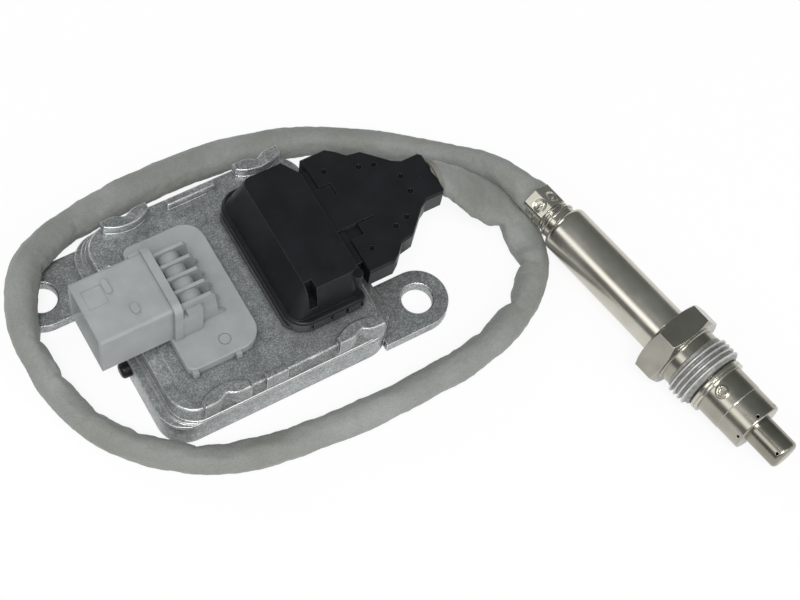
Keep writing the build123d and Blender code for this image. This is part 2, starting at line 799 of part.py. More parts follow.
# Upper half shell, with the latch tongue moulded on it.
with BuildPart() as plug_cover:
    with BuildSketch(Plane.XY.offset(plug_middle)):
        add(plug_outer)
    extrude(amount=plug_top - plug_middle)
    fillet(plug_cover.faces().sort_by(Axis.Z)[-1].edges(), plug_edge_round)
    with BuildSketch(Plane.XY.offset(plug_middle)):
        add(plug_inner)
    extrude(amount=plug_top - plug_wall - plug_middle, mode=Mode.SUBTRACT)
    # latch head, flush with the shell, reaching over the gap to the hood
    nose_top = nose_bottom + nose_height
    with BuildSketch(Plane.XY.offset(nose_top)):
        with Locations(((latch_left + plug_left + plug_wall) / 2, (latch_front_y + latch_back_y) / 2)):
            Rectangle(plug_left + plug_wall - latch_left, latch_back_y - latch_front_y)
    extrude(amount=plug_top - nose_top)
    # sunk field in front of the latch, and the gap lines round the latch
    with BuildSketch(Plane.XY.offset(plug_top - latch_notch_depth)):
        with Locations(
            ((plug_left + latch_notch_right) / 2, latch_front_y - latch_notch_width / 2)
        ):
            Rectangle(latch_notch_right - plug_left, latch_notch_width)
    extrude(amount=latch_notch_depth, mode=Mode.SUBTRACT)
    with BuildSketch(Plane.XY.offset(plug_top - latch_line_depth)):
        with Locations(((plug_left + latch_line_end) / 2, latch_front_y)):
            Rectangle(latch_line_end - plug_left, latch_line_width)
        with Locations(((plug_left + latch_step_x) / 2, latch_back_y)):
            Rectangle(latch_step_x - plug_left, latch_line_width)
        with Locations((latch_step_x, (latch_step_y + latch_back_y) / 2)):
            Rectangle(latch_line_width, latch_back_y - latch_step_y)
    extrude(amount=latch_line_depth, mode=Mode.SUBTRACT)
    with BuildSketch(Plane.XY.offset(plug_top - plug_wall / 2)):
        for place in plug_hole_places:
            for side in (1, -1):
                with Locations((place[0], sensor_y + side * place[1])):
                    Circle(plug_hole_radius)
    extrude(amount=plug_wall, mode=Mode.SUBTRACT)
    # half of the leads' opening and half of the grommet's seat
    with BuildSketch(Plane.YZ.offset(plug_left - 1)):
        with Locations((sensor_y, plug_middle)):
            Rectangle(2 * lead_opening_half_width, lead_opening_height)
    extrude(amount=plug_wall + 2, mode=Mode.SUBTRACT)
    with BuildSketch(Plane.YZ.offset(plug_end - grommet_length)):
        with Locations((sensor_y, plug_middle)):
            Circle(grommet_radius)
    extrude(amount=grommet_length + 1, mode=Mode.SUBTRACT)

# Lower half shell.
with BuildPart() as plug_base:
    with BuildSketch(Plane.XY.offset(plug_bottom)):
        add(plug_outer)
    extrude(amount=plug_middle - plug_bottom)
    fillet(plug_base.faces().sort_by(Axis.Z)[0].edges(), plug_edge_round)
    with BuildSketch(Plane.XY.offset(plug_bottom + plug_wall)):
        add(plug_inner)
    extrude(amount=plug_middle - plug_bottom - plug_wall, mode=Mode.SUBTRACT)
    with BuildSketch(Plane.YZ.offset(plug_left - 1)):
        with Locations((sensor_y, plug_middle)):
            Rectangle(2 * lead_opening_half_width, lead_opening_height)
    extrude(amount=plug_wall + 2, mode=Mode.SUBTRACT)
    with BuildSketch(Plane.YZ.offset(plug_end - grommet_length)):
        with Locations((sensor_y, plug_middle)):
            Circle(grommet_radius)
    extrude(amount=grommet_length + 1, mode=Mode.SUBTRACT)

# Cable grommet in the neck, with a collar that the sleeve butts against.
cable_exit = plug_end + grommet_collar_length
with BuildPart() as cable_grommet:
    with BuildSketch(Plane.YZ.offset(plug_end - grommet_length)):
        with Locations((sensor_y, plug_middle)):
            Circle(grommet_radius)
    extrude(amount=grommet_length)
    with BuildSketch(Plane.YZ.offset(plug_end)):
        with Locations((sensor_y, plug_middle)):
            Circle(grommet_collar_radius)
    extrude(amount=grommet_collar_length)

# Five leads from the contacts to the grommet.
with BuildPart() as plug_leads:
    lead_start = contact_left + contact_length
    lead_end = plug_end - grommet_length
    for index, place in enumerate(sensor_pin_places):
        gathered = sensor_y + lead_gather_pitch * (index - (sensor_pin_count - 1) / 2)
        with BuildLine() as lead_path:
            if abs(gathered - place) < 0.01:
                Line((lead_start, place, sensor_pin_z), (lead_end, place, sensor_pin_z))
            else:
                FilletPolyline(
                    (lead_start, place, sensor_pin_z),
                    (lead_start + 9.0, place, sensor_pin_z),
                    (lead_end - 4.0, gathered, sensor_pin_z),
                    (lead_end, gathered, sensor_pin_z),
                    radius=4.0,
                )
        with BuildSketch(Plane.YZ.offset(lead_start)):
            with Locations((place, sensor_pin_z)):
                Circle(lead_radius)
        sweep(path=lead_path.wire())

# Cable route: the middle line of the sleeve, from the grommet to the probe's ferrule.
turn = math.radians(probe_heading)
along = Vector(math.cos(turn), math.sin(turn), 0)
probe_origin = Vector(probe_x, probe_y, hex_flats / 2)
ferrule_mouth = probe_origin + along * ferrule_start
rest = cable_diameter / 2
over_ear = ear_thickness + rest
route = [
    (cable_exit, sensor_y, plug_middle),
    (66.4, sensor_y, plug_middle),
    (70.8, -2.7, 17.6),
    (74.9, -7.2, 12.0),
    (78.0, -13.6, 7.2),
    (79.5, -20.7, rest + 0.4),
    (79.0, -28.1, rest),
    (74.7, -34.5, rest),
    (67.2, -39.7, rest),
    (56.8, -43.9, rest),
    (43.0, -46.2, rest),
    (25.0, -46.7, rest),
    (6.5, -46.0, rest),
    (-9.9, -44.7, rest),
    (-25.2, -40.9, rest),
    (-36.3, -32.7, rest),
    (-46.0, -23.1, rest),
    (-51.4, -12.1, rest + 0.1),
    (-53.1, 0.4, rest + 1.2),
    (-54.0, 12.2, over_ear + 0.6),
    (-51.2, 22.4, over_ear + 1.4),
    (-45.9, 30.4, over_ear + 0.6),
    (-38.2, 36.2, rest + 1.3),
    (-25.2, 40.0, rest),
    (-6.9, 41.9, rest),
    (11.5, 41.6, rest),
    (28.4, 38.7, rest),
    (44.6, 32.9, rest),
    (59.7, 23.7, rest),
    (72.3, 13.8, rest + 0.1),
    (81.2, 5.1, rest + 2.5),
    tuple(ferrule_mouth - along * 9.6),
    tuple(ferrule_mouth),
]
corners = [Vector(*point) for point in route]
runs = [b - a for a, b in zip(corners, corners[1:])]
radii = []
for before, after in zip(runs, runs[1:]):
    half_turn = math.radians(before.get_angle(after)) / 2
    radii.append(0.45 * min(before.length, after.length) / math.tan(half_turn))
with BuildLine() as cable_path:
    FilletPolyline(*route, radius=radii)
with BuildPart() as cable_sleeve:
    with BuildSketch(Plane(origin=corners[0], z_dir=runs[0])):
        Circle(rest)
    sweep(path=cable_path.wire())
cable_length = cable_path.wire().length
ideal_volume = cable_length * math.pi * rest**2
print("cable radii", [round(radius, 1) for radius in radii])
print("cable length", round(cable_length, 1), "volume ratio", cable_sleeve.part.volume / ideal_volume)

# Exhaust probe, lying with one flat of its hexagon on the table.
section = Plane(origin=probe_origin, x_dir=along, z_dir=(math.sin(turn), -math.cos(turn), 0))
probe_axis = Axis(probe_origin, along)
cross = Plane(origin=probe_origin, x_dir=(0, 0, 1), z_dir=along)
thread_start = hex_length + nut_collar_length
nut_end = thread_start + thread_length
seat_start = nut_end + nut_end_gap
shield_start = seat_start + seat_length
shield_end = shield_start + shield_length
inner_end = shield_end + inner_reach
core_radius = nut_bore_radius - running_clearance
ring_start = -nut_end_gap - stop_ring_length


def turned(points):
    """Solid of revolution about the probe axis from (station, radius) points."""
    with BuildPart() as piece:
        with BuildSketch(section):
            with BuildLine():
                Polyline(*points, close=True)
            make_face()
        revolve(axis=probe_axis)
    return piece


def bush(start, end):
    """Round filling of the body's bore with a slot for the sensing element."""
    with BuildPart() as piece:
        with BuildSketch(cross.offset(start)):
            Circle(body_bore_radius)
            Rectangle(element_thickness, element_width, mode=Mode.SUBTRACT)
        extrude(amount=end - start)
    return piece


# Union nut: hexagon, plain collar and threaded shank in one turned piece, free to turn.
with BuildPart() as union_nut:
    with BuildSketch(cross):
        RegularPolygon(radius=hex_flats / 2, side_count=6, major_radius=False, rotation=30)
    extrude(amount=hex_length)
    hex_corner_radius = hex_flats / math.sqrt(3)
    with BuildSketch(section):
        with BuildLine():
            Polyline(
                (0, hex_corner_radius - hex_chamfer),
                (hex_chamfer * 0.6, hex_corner_radius + 0.2),
                (hex_length - hex_chamfer * 0.6, hex_corner_radius + 0.2),
                (hex_length, hex_corner_radius - hex_chamfer),
                (hex_length, 0),
                (0, 0),
                close=True,
            )
        make_face()
    revolve(axis=probe_axis, mode=Mode.INTERSECT)
    with BuildSketch(cross.offset(hex_length)):
        Circle(nut_collar_radius)
    extrude(amount=nut_collar_length)
    with BuildSketch(cross.offset(thread_start)):
        Circle(thread_radius)
    extrude(amount=thread_length)
    chamfer(union_nut.faces().sort_by(Axis(probe_origin, along))[-1].edges(), thread_chamfer)
    with BuildSketch(cross):
        Circle(nut_bore_radius)
    extrude(amount=nut_end, mode=Mode.SUBTRACT)

# Probe body: stop ring, core inside the nut, and the seat ring in front.
probe_body = turned(
    [
        (ring_start - 6.0, body_bore_radius),
        (ring_start - 6.0, sleeve_radius - sleeve_wall),
        (ring_start, sleeve_radius - sleeve_wall),
        (ring_start, stop_ring_radius),
        (-nut_end_gap, stop_ring_radius),
        (-nut_end_gap, core_radius),
        (seat_start, core_radius),
        (seat_start, seat_radius - 0.5),
        (seat_start + 0.5, seat_radius),
        (seat_start + 1.2, seat_radius),
        (seat_start + 1.4, seat_radius - 0.35),
        (seat_start + 1.6, seat_radius),
        (shield_start, seat_radius),
        (shield_start, shield_radius - shield_wall),
        (shield_start + 3.0, shield_radius - shield_wall),
        (shield_start + 3.0, body_bore_radius),
    ]
)

# Protective sleeve: thin tube with a rounded shoulder, pushed over the body's rear spigot.
sleeve_inner = sleeve_radius - sleeve_wall
with BuildPart() as probe_sleeve:
    with BuildSketch(section):
        with BuildLine():
            shoulder_end = sleeve_start + sleeve_shoulder
            Polyline(
                (shoulder_end, sleeve_radius),
                (ring_start, sleeve_radius),
                (ring_start, sleeve_inner),
                (shoulder_end, sleeve_inner),
                (sleeve_start + sleeve_wall, sleeve_inner - sleeve_shoulder + sleeve_wall),
                (sleeve_start + sleeve_wall, sleeve_neck_radius - sleeve_wall),
                (sleeve_start - 1.6, sleeve_neck_radius - sleeve_wall),
                (sleeve_start - 1.6, sleeve_neck_radius),
                (sleeve_start, sleeve_neck_radius),
                (sleeve_start, sleeve_radius - sleeve_shoulder),
            )
            ThreePointArc(
                (sleeve_start, sleeve_radius - sleeve_shoulder),
                (
                    shoulder_end - sleeve_shoulder * math.cos(math.pi / 4),
                    sleeve_radius - sleeve_shoulder * (1 - math.sin(math.pi / 4)),
                ),
                (shoulder_end, sleeve_radius),
            )
        make_face()
    revolve(axis=probe_axis)

# Crimped ferrule round the cable's end: six flats, each with a pressed oval, and a ringed neck.
ferrule_end = ferrule_start + ferrule_length
neck_end = sleeve_start - 1.6
ferrule_bore = ferrule_radius - ferrule_wall
groove_radius = ferrule_radius - ferrule_groove
ferrule_neck = turned(
    [
        (ferrule_end, ferrule_bore),
        (ferrule_end, groove_radius),
        (ferrule_end + 0.25, groove_radius),
        (ferrule_end + 0.25, ferrule_radius - 0.2),
        (ferrule_end + 0.55, ferrule_radius - 0.2),
        (ferrule_end + 0.55, groove_radius),
        (ferrule_end + 0.75, groove_radius),
        (ferrule_end + 0.75, bead_radius - 0.15),
        (ferrule_end + 0.9, bead_radius),
        (neck_end, bead_radius),
        (neck_end, ferrule_bore),
    ]
)
with BuildPart() as crimp_ferrule:
    with BuildSketch(cross.offset(ferrule_start)):
        RegularPolygon(
            radius=ferrule_flats / 2,
            side_count=ferrule_sides,
            major_radius=False,
            rotation=ferrule_turn - 180 / ferrule_sides,
        )
        Circle(ferrule_radius, mode=Mode.INTERSECT)
        Circle(ferrule_bore, mode=Mode.SUBTRACT)
    extrude(amount=ferrule_length)
    for index in range(ferrule_sides):
        pressed = cross.offset(ferrule_start + ferrule_length / 2).rotated(
            (0, 0, ferrule_turn + 360 / ferrule_sides * index)
        )
        flat = Plane(
            origin=pressed.origin + pressed.x_dir * ferrule_flats / 2,
            x_dir=pressed.y_dir,
            z_dir=pressed.x_dir,
        )
        with BuildSketch(flat):
            SlotOverall(crimp_length, crimp_width)
        extrude(amount=-crimp_depth, mode=Mode.SUBTRACT)
        with BuildSketch(flat):
            SlotOverall(crimp_slit_length, crimp_slit_width)
        extrude(amount=-crimp_depth - crimp_slit_depth, mode=Mode.SUBTRACT)
    add(ferrule_neck.part)

# Rear grommet that closes the sleeve, gripped by the ferrule and the sleeve's neck.
rear_grommet = turned(
    [
        (ferrule_start, 0),
        (ferrule_start, ferrule_bore),
        (neck_end, ferrule_bore),
        (neck_end, sleeve_neck_radius - sleeve_wall),
        (sleeve_start + sleeve_wall, sleeve_neck_radius - sleeve_wall),
        (sleeve_start + 3.0, sleeve_neck_radius - sleeve_wall),
        (sleeve_start + 3.0, 0),
    ]
)

# Sensing element: a flat ceramic strip through the whole probe.
element_tip = inner_end - element_tip_margin
with BuildPart() as sensing_element:
    with BuildSketch(cross.offset(element_rear)):
        Rectangle(element_thickness, element_width)
    extrude(amount=element_tip - element_rear)

# Ceramic bushes and the talc ring that hold the element in the body.
rear_ceramic = bush(ring_start - 4.0, talc_start)
talc_ring = bush(talc_start, talc_end)
front_ceramic = bush(talc_end, shield_start + 1.0)

# Contact clamp: ceramic block that presses the lead ends on the element's rear.
clamp_start = element_rear - clamp_lead
with BuildPart() as contact_clamp:
    with BuildSketch(cross.offset(clamp_start)):
        Circle(sleeve_inner - 0.3)
    extrude(amount=clamp_length)
    with BuildSketch(cross.offset(element_rear)):
        Rectangle(element_thickness, element_width)
    extrude(amount=clamp_length, mode=Mode.SUBTRACT)

# Leads between the clamp and the rear grommet.
with BuildPart() as probe_leads:
    with BuildSketch(cross.offset(sleeve_start + 3.0)):
        with PolarLocations(2.6, sensor_pin_count):
            Circle(lead_radius)
    extrude(amount=clamp_start - sleeve_start - 3.0)

# Outer shield: a cap with a step, dimples and small gas holes.
shield_inner = shield_radius - shield_wall
with BuildPart() as outer_shield:
    with BuildSketch(section):
        with BuildLine():
            Polyline(
                (shield_start, shield_inner),
                (shield_start, shield_radius),
                (shield_start + shield_step, shield_radius),
                (shield_start + shield_step + 0.3, shield_radius - shield_step_depth),
                (shield_end, shield_radius - shield_step_depth),
                (shield_end, inner_radius),
                (shield_end - shield_wall, inner_radius),
                (shield_end - shield_wall, shield_inner - shield_step_depth),
                (shield_start + shield_step, shield_inner - shield_step_depth),
                (shield_start + shield_step, shield_inner),
                close=True,
            )
        make_face()
    revolve(axis=probe_axis)
    end_rim = outer_shield.edges().filter_by(GeomType.CIRCLE).filter_by(
        lambda edge: abs(edge.radius - shield_radius + shield_step_depth) < 0.01
    )
    fillet(end_rim.sort_by(probe_axis)[-1], shield_round - shield_wall)
    for index in range(shield_holes):
        ray = cross.offset(shield_end - shield_hole_from_end).rotated(
            (0, 0, shield_hole_turn + 360 / shield_holes * index)
        )
        with BuildSketch(Plane(origin=ray.origin, x_dir=along, z_dir=ray.x_dir)):
            Circle(shield_hole_radius)
        extrude(amount=shield_radius + 1, mode=Mode.SUBTRACT)
    # embossed rings with a dent in the middle
    for index in range(dimple_count):
        ray = cross.offset(shield_start + dimple_station).rotated(
            (0, 0, dimple_turn + 360 / dimple_count * index)
        )
        middle = ray.origin + ray.x_dir * (shield_radius - shield_wall / 2)
        with BuildSketch(Plane(origin=middle, x_dir=along, z_dir=ray.x_dir)):
            Circle(dimple_radius)
        extrude(amount=shield_wall / 2 + dimple_height)
        dent = ray.origin + ray.x_dir * (shield_radius - dimple_depth)
        with BuildSketch(Plane(origin=dent, x_dir=along, z_dir=ray.x_dir)):
            Circle(dimple_radius - dimple_rim)
        extrude(amount=dimple_depth + 2 * dimple_height, mode=Mode.SUBTRACT)

# Inner shield: the slim cap that reaches through the outer one.
with BuildPart() as inner_shield:
    inner_start = shield_start + 1.0
    with BuildSketch(cross.offset(inner_start)):
        Circle(inner_radius)
    extrude(amount=inner_end - inner_start)
    fillet(inner_shield.faces().sort_by(probe_axis)[-1].edges(), inner_round)
    with BuildSketch(cross.offset(inner_start)):
        Circle(body_bore_radius)
    extrude(amount=inner_flange)
    with BuildSketch(cross.offset(inner_start)):
        Circle(inner_radius - inner_wall)
    extrude(amount=inner_end - inner_start - inner_round, mode=Mode.SUBTRACT)
    for index in range(shield_holes):
        ray = cross.offset(inner_end - inner_hole_from_end - inner_round).rotated(
            (0, 0, inner_hole_turn + 360 / shield_holes * index)
        )
        with BuildSketch(Plane(origin=ray.origin, x_dir=along, z_dir=ray.x_dir)):
            Circle(shield_hole_radius)
        extrude(amount=inner_radius + 1, mode=Mode.SUBTRACT)

housing_tray.part.label = "housing_tray"
export_step(housing_tray.part, "parts/housing_tray.step")
housing_seal.part.label = "housing_seal"
export_step(housing_seal.part, "parts/housing_seal.step")
housing_cover.part.label = "housing_cover"
export_step(housing_cover.part, "parts/housing_cover.step")
vent_plug.part.label = "vent_plug"
export_step(vent_plug.part, "parts/vent_plug.step")
circuit_board.part.label = "circuit_board"
export_step(circuit_board.part, "parts/circuit_board.step")
thermal_pad.part.label = "thermal_pad"
export_step(thermal_pad.part, "parts/thermal_pad.step")
processor.part.label = "processor"
export_step(processor.part, "parts/processor.step")
driver_chips.part.label = "driver_chips"
export_step(driver_chips.part, "parts/driver_chips.step")
storage_capacitors.part.label = "storage_capacitors"
export_step(storage_capacitors.part, "parts/storage_capacitors.step")
supply_pins.part.label = "supply_pins"
export_step(supply_pins.part, "parts/supply_pins.step")
supply_gasket.part.label = "supply_gasket"
export_step(supply_gasket.part, "parts/supply_gasket.step")
supply_socket.part.label = "supply_socket"
export_step(supply_socket.part, "parts/supply_socket.step")
sensor_pins.part.label = "sensor_pins"
export_step(sensor_pins.part, "parts/sensor_pins.step")
sensor_gasket.part.label = "sensor_gasket"
export_step(sensor_gasket.part, "parts/sensor_gasket.step")
sensor_socket.part.label = "sensor_socket"
export_step(sensor_socket.part, "parts/sensor_socket.step")
plug_contacts.part.label = "plug_contacts"
export_step(plug_contacts.part, "parts/plug_contacts.step")
plug_nose.part.label = "plug_nose"
export_step(plug_nose.part, "parts/plug_nose.step")
plug_cover.part.label = "plug_cover"
export_step(plug_cover.part, "parts/plug_cover.step")
plug_base.part.label = "plug_base"
export_step(plug_base.part, "parts/plug_base.step")
plug_leads.part.label = "plug_leads"
export_step(plug_leads.part, "parts/plug_leads.step")
cable_grommet.part.label = "cable_grommet"
export_step(cable_grommet.part, "parts/cable_grommet.step")
cable_sleeve.part.label = "cable_sleeve"
export_step(cable_sleeve.part, "parts/cable_sleeve.step")
crimp_ferrule.part.label = "crimp_ferrule"
export_step(crimp_ferrule.part, "parts/crimp_ferrule.step")
rear_grommet.part.label = "rear_grommet"
export_step(rear_grommet.part, "parts/rear_grommet.step")
probe_leads.part.label = "probe_leads"
export_step(probe_leads.part, "parts/probe_leads.step")
contact_clamp.part.label = "contact_clamp"
export_step(contact_clamp.part, "parts/contact_clamp.step")
probe_sleeve.part.label = "probe_sleeve"
export_step(probe_sleeve.part, "parts/probe_sleeve.step")
probe_body.part.label = "probe_body"
export_step(probe_body.part, "parts/probe_body.step")
union_nut.part.label = "union_nut"
export_step(union_nut.part, "parts/union_nut.step")
rear_ceramic.part.label = "rear_ceramic"
export_step(rear_ceramic.part, "parts/rear_ceramic.step")
talc_ring.part.label = "talc_ring"
export_step(talc_ring.part, "parts/talc_ring.step")
front_ceramic.part.label = "front_ceramic"
export_step(front_ceramic.part, "parts/front_ceramic.step")
sensing_element.part.label = "sensing_element"
export_step(sensing_element.part, "parts/sensing_element.step")
outer_shield.part.label = "outer_shield"
export_step(outer_shield.part, "parts/outer_shield.step")
inner_shield.part.label = "inner_shield"
export_step(inner_shield.part, "parts/inner_shield.step")
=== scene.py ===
import math

import bmesh
import bpy
from mathutils import Matrix, Vector, noise


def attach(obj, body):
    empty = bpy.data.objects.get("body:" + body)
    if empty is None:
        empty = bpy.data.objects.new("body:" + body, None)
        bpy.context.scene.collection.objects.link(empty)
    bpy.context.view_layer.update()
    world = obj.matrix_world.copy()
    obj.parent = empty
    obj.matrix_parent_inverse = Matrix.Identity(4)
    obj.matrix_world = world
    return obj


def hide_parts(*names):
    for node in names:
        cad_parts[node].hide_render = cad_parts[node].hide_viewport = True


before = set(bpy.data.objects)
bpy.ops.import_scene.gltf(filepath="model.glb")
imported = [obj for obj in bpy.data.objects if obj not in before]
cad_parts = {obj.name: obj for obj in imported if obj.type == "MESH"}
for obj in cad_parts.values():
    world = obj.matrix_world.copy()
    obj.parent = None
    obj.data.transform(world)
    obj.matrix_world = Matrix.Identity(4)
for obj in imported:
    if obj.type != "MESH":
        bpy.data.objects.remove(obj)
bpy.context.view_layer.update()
MM = 0.001

# Camera.
# A small product on a white table, seen from above and from the front left, with the picture turned
# a little. The angles and the place are those of the photograph.
view_azimuth = math.radians(40.467)
view_height = math.radians(62.584)
view_roll = math.radians(11.810)
camera_place = Vector((-118.013, -206.969, 473.955)) * MM
picture_width = 800
focal_length_in_pixels = 1953.68
towards_camera = Vector(
    (
        -math.sin(view_azimuth) * math.cos(view_height),
        -math.cos(view_azimuth) * math.cos(view_height),
        math.sin(view_height),
    )
)
level = Vector((math.cos(view_azimuth), -math.sin(view_azimuth), 0))
upright = towards_camera.cross(level)
camera_right = level * math.cos(view_roll) + upright * math.sin(view_roll)
camera_up = upright * math.cos(view_roll) - level * math.sin(view_roll)
camera_data = bpy.data.cameras.new("photo_camera")
camera_data.sensor_width = 36.0
camera_data.lens = focal_length_in_pixels * camera_data.sensor_width / picture_width
camera_data.clip_start = 0.01
camera = bpy.data.objects.new("photo_camera", camera_data)
camera.matrix_world = (
    Matrix.Translation(camera_place)
    @ Matrix((camera_right, camera_up, towards_camera)).transposed().to_4x4()
)
bpy.context.collection.objects.link(camera)
bpy.context.scene.camera = camera
bpy.context.scene.view_settings.view_transform = "Standard"


def srgb(code):
    """An sRGB hex colour as linear red, green, blue and alpha."""
    parts = [int(code[i : i + 2], 16) / 255 for i in (1, 3, 5)]
    return (*[p / 12.92 if p <= 0.04045 else ((p + 0.055) / 1.055) ** 2.4 for p in parts], 1.0)


def add(tree, kind, inputs=None, **settings):
    """Adds a node, sets its properties, and sets or links its inputs."""
    made = tree.nodes.new(kind)
    for name, value in settings.items():
        setattr(made, name, value)
    for socket, value in (inputs or {}).items():
        if isinstance(value, bpy.types.NodeSocket):
            tree.links.new(value, made.inputs[socket])
        else:
            made.inputs[socket].default_value = value
    return made


def ramp(tree, factor, *stops):
    """A colour ramp between (position, hex colour) stops; returns its colour socket."""
    made = add(tree, "ShaderNodeValToRGB", {"Fac": factor})
    while len(made.color_ramp.elements) < len(stops):
        made.color_ramp.elements.new(1.0)
    for element, (position, code) in zip(made.color_ramp.elements, stops):
        element.position = position
        element.color = srgb(code)
    return made.outputs["Color"]


def blend(tree, factor, first, second, how="MIX"):
    """Mixes two colours, given as sockets or as values; returns the colour socket."""
    made = add(tree, "ShaderNodeMix", {"Factor": factor}, data_type="RGBA", blend_type=how)
    for name, value in (("A", first), ("B", second)):
        socket = next(i for i in made.inputs if i.identifier == name + "_Color")
        if isinstance(value, bpy.types.NodeSocket):
            tree.links.new(value, socket)
        else:
            socket.default_value = value
    return next(i for i in made.outputs if i.identifier == "Result_Color")


def bump(tree, height, strength, distance, under=None):
    """A bump on top of another normal; returns its normal socket."""
    inputs = {"Height": height, "Strength": strength, "Distance": distance}
    if under is not None:
        inputs["Normal"] = under
    return add(tree, "ShaderNodeBump", inputs).outputs["Normal"]


def new_material(name):
    """A new Principled material, with its tree, its shader and the object's coordinates."""
    made = bpy.data.materials.new(name)
    made.use_nodes = True
    where = add(made.node_tree, "ShaderNodeTexCoord").outputs["Object"]
    return made, made.node_tree, made.node_tree.nodes["Principled BSDF"], where


def cloud(tree, where, scale, detail=4.0):
    """Noise over the object's own coordinates; returns its factor socket."""
    inputs = {"Vector": where, "Scale": scale, "Detail": detail}
    return add(tree, "ShaderNodeTexNoise", inputs).outputs["Fac"]


def dress(material, *names):
    """Gives CAD nodes one material."""
    for name in names:
        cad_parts[name].data.materials.clear()
        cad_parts[name].data.materials.append(material)


# Table and light.
# A white table with a soft shadow, under two soft boxes and a weak fill. The room is dim but for a
# pale wall in front and a bright panel on the left, so polished metal shows dark and light bands.
table_drop = 0.4 * MM
table_reach = 4
white_seen = 0.88
white_mirrored = 0.45
floor_mesh = bpy.data.meshes.new("table")
floor_mesh.from_pydata(
    [
        (x * table_reach, y * table_reach, -table_drop)
        for x, y in ((-1, -1), (1, -1), (1, 1), (-1, 1))
    ],
    [],
    [(0, 1, 2, 3)],
)
floor = bpy.data.objects.new("table", floor_mesh)
bpy.context.collection.objects.link(floor)
table_paint = bpy.data.materials.new("table_paint")
table_paint.use_nodes = True
tree = table_paint.node_tree
tree.nodes.clear()
lit = add(tree, "ShaderNodeBsdfDiffuse", {"Color": srgb("#F4F4F4")})
white = add(tree, "ShaderNodeEmission", {"Color": (1, 1, 1, 1), "Strength": 1.0})
ray = add(tree, "ShaderNodeLightPath")
mirrored = add(
    tree,
    "ShaderNodeMath",
    {0: ray.outputs["Is Glossy Ray"], 1: ray.outputs["Is Transmission Ray"]},
    operation="MAXIMUM",
)
camera_share = add(
    tree, "ShaderNodeMath", {0: ray.outputs["Is Camera Ray"], 1: white_seen}, operation="MULTIPLY"
)
mirror_share = add(
    tree, "ShaderNodeMath", {0: mirrored.outputs[0], 1: white_mirrored}, operation="MULTIPLY"
)
share = add(
    tree,
    "ShaderNodeMath",
    {0: camera_share.outputs[0], 1: mirror_share.outputs[0]},
    operation="MAXIMUM",
)
mixed = add(
    tree, "ShaderNodeMixShader", {0: share.outputs[0], 1: lit.outputs[0], 2: white.outputs[0]}
)
add(tree, "ShaderNodeOutputMaterial", {"Surface": mixed.outputs[0]})
floor_mesh.materials.append(table_paint)

panel_direction = (-0.762, 0.010, 0.649)
panel_glow = (2.3, 2.3, 2.28, 1.0)
room = bpy.data.worlds.new("studio_room")
room.use_nodes = True
bpy.context.scene.world = room
tree = room.node_tree
tree.nodes.clear()
spot = add(tree, "ShaderNodeTexCoord")
split = add(tree, "ShaderNodeSeparateXYZ", {0: spot.outputs["Generated"]})
dome = ramp(tree, split.outputs["Z"], (0.0, "#7A7C7A"), (0.45, "#727473"), (0.95, "#868989"))
ahead = add(
    tree, "ShaderNodeMapRange", {"Value": split.outputs["Y"], "From Min": -0.15, "From Max": -0.55}
)
low = add(
    tree, "ShaderNodeMapRange", {"Value": split.outputs["Z"], "From Min": 0.70, "From Max": 0.25}
)
wall = add(
    tree,
    "ShaderNodeMath",
    {0: ahead.outputs["Result"], 1: low.outputs["Result"]},
    operation="MULTIPLY",
)
with_wall = blend(tree, wall.outputs[0], dome, srgb("#F6F6F2"))
gap = add(
    tree,
    "ShaderNodeVectorMath",
    {0: spot.outputs["Generated"], 1: panel_direction},
    operation="DISTANCE",
)
panel = add(
    tree,
    "ShaderNodeMapRange",
    {"Value": gap.outputs["Value"], "From Min": 0.30, "From Max": 0.10},
    interpolation_type="SMOOTHSTEP",
)
with_panel = blend(tree, panel.outputs["Result"], with_wall, panel_glow)
ray = add(tree, "ShaderNodeLightPath")
seen = blend(tree, ray.outputs["Is Camera Ray"], with_panel, (1, 1, 1, 1))
sky = add(tree, "ShaderNodeBackground", {"Color": seen, "Strength": 1.0})
add(tree, "ShaderNodeOutputWorld", {"Surface": sky.outputs[0]})

for name, place, width, length, power in (
    ("key_soft_box", (-0.55, -0.80, 2.05), 0.80, 0.80, 33.0),
    ("front_soft_box", (0.60, -1.50, 1.50), 1.20, 1.00, 7.0),
    ("back_fill", (-0.60, 2.00, 1.20), 1.00, 0.70, 10.0),
):
    data = bpy.data.lights.new(name, "AREA")
    data.shape = "RECTANGLE"
    data.size = width
    data.size_y = length
    data.energy = power
    lamp = bpy.data.objects.new(name, data)
    lamp.location = place
    lamp.rotation_euler = (-Vector(place)).to_track_quat("-Z", "Y").to_euler()
    bpy.context.collection.objects.link(lamp)

# Control unit housing: tray and cover.
# Both are die-cast aluminium, tumbled but not machined. The skin is a dull, finely mottled grey
# with a flow pattern, and every edge is softly rounded, with a painted highlight on the edges and
# painted shade in the corners.


def shade_in_corners(tree, distance, low, high, share):
    """Painted shade: how dark a place is made, the share in tight corners, and none in the open."""
    seen_open = add(tree, "ShaderNodeAmbientOcclusion", {"Distance": distance}, samples=4)
    limits = {"From Min": low, "From Max": high, "To Min": share, "To Max": 0.0}
    corner_shade = add(tree, "ShaderNodeMapRange", {"Value": seen_open.outputs["AO"], **limits})
    return corner_shade.outputs["Result"]


def soft_edges_and_highlight(tree, radius, start, full, share=1.0, face="True Normal"):
    """A normal that rounds the edges, and a mask for a painted highlight: the share on sharp edges.
    """
    soft = add(tree, "ShaderNodeBevel", {"Radius": radius}, samples=6).outputs["Normal"]
    hard = add(tree, "ShaderNodeNewGeometry").outputs[face]
    parted = add(tree, "ShaderNodeVectorMath", {0: soft, 1: hard}, operation="DOT_PRODUCT")
    limits = {"From Min": start, "From Max": full, "To Max": share}
    edge_highlight = add(tree, "ShaderNodeMapRange", {"Value": parted.outputs["Value"], **limits})
    return soft, edge_highlight.outputs["Result"]


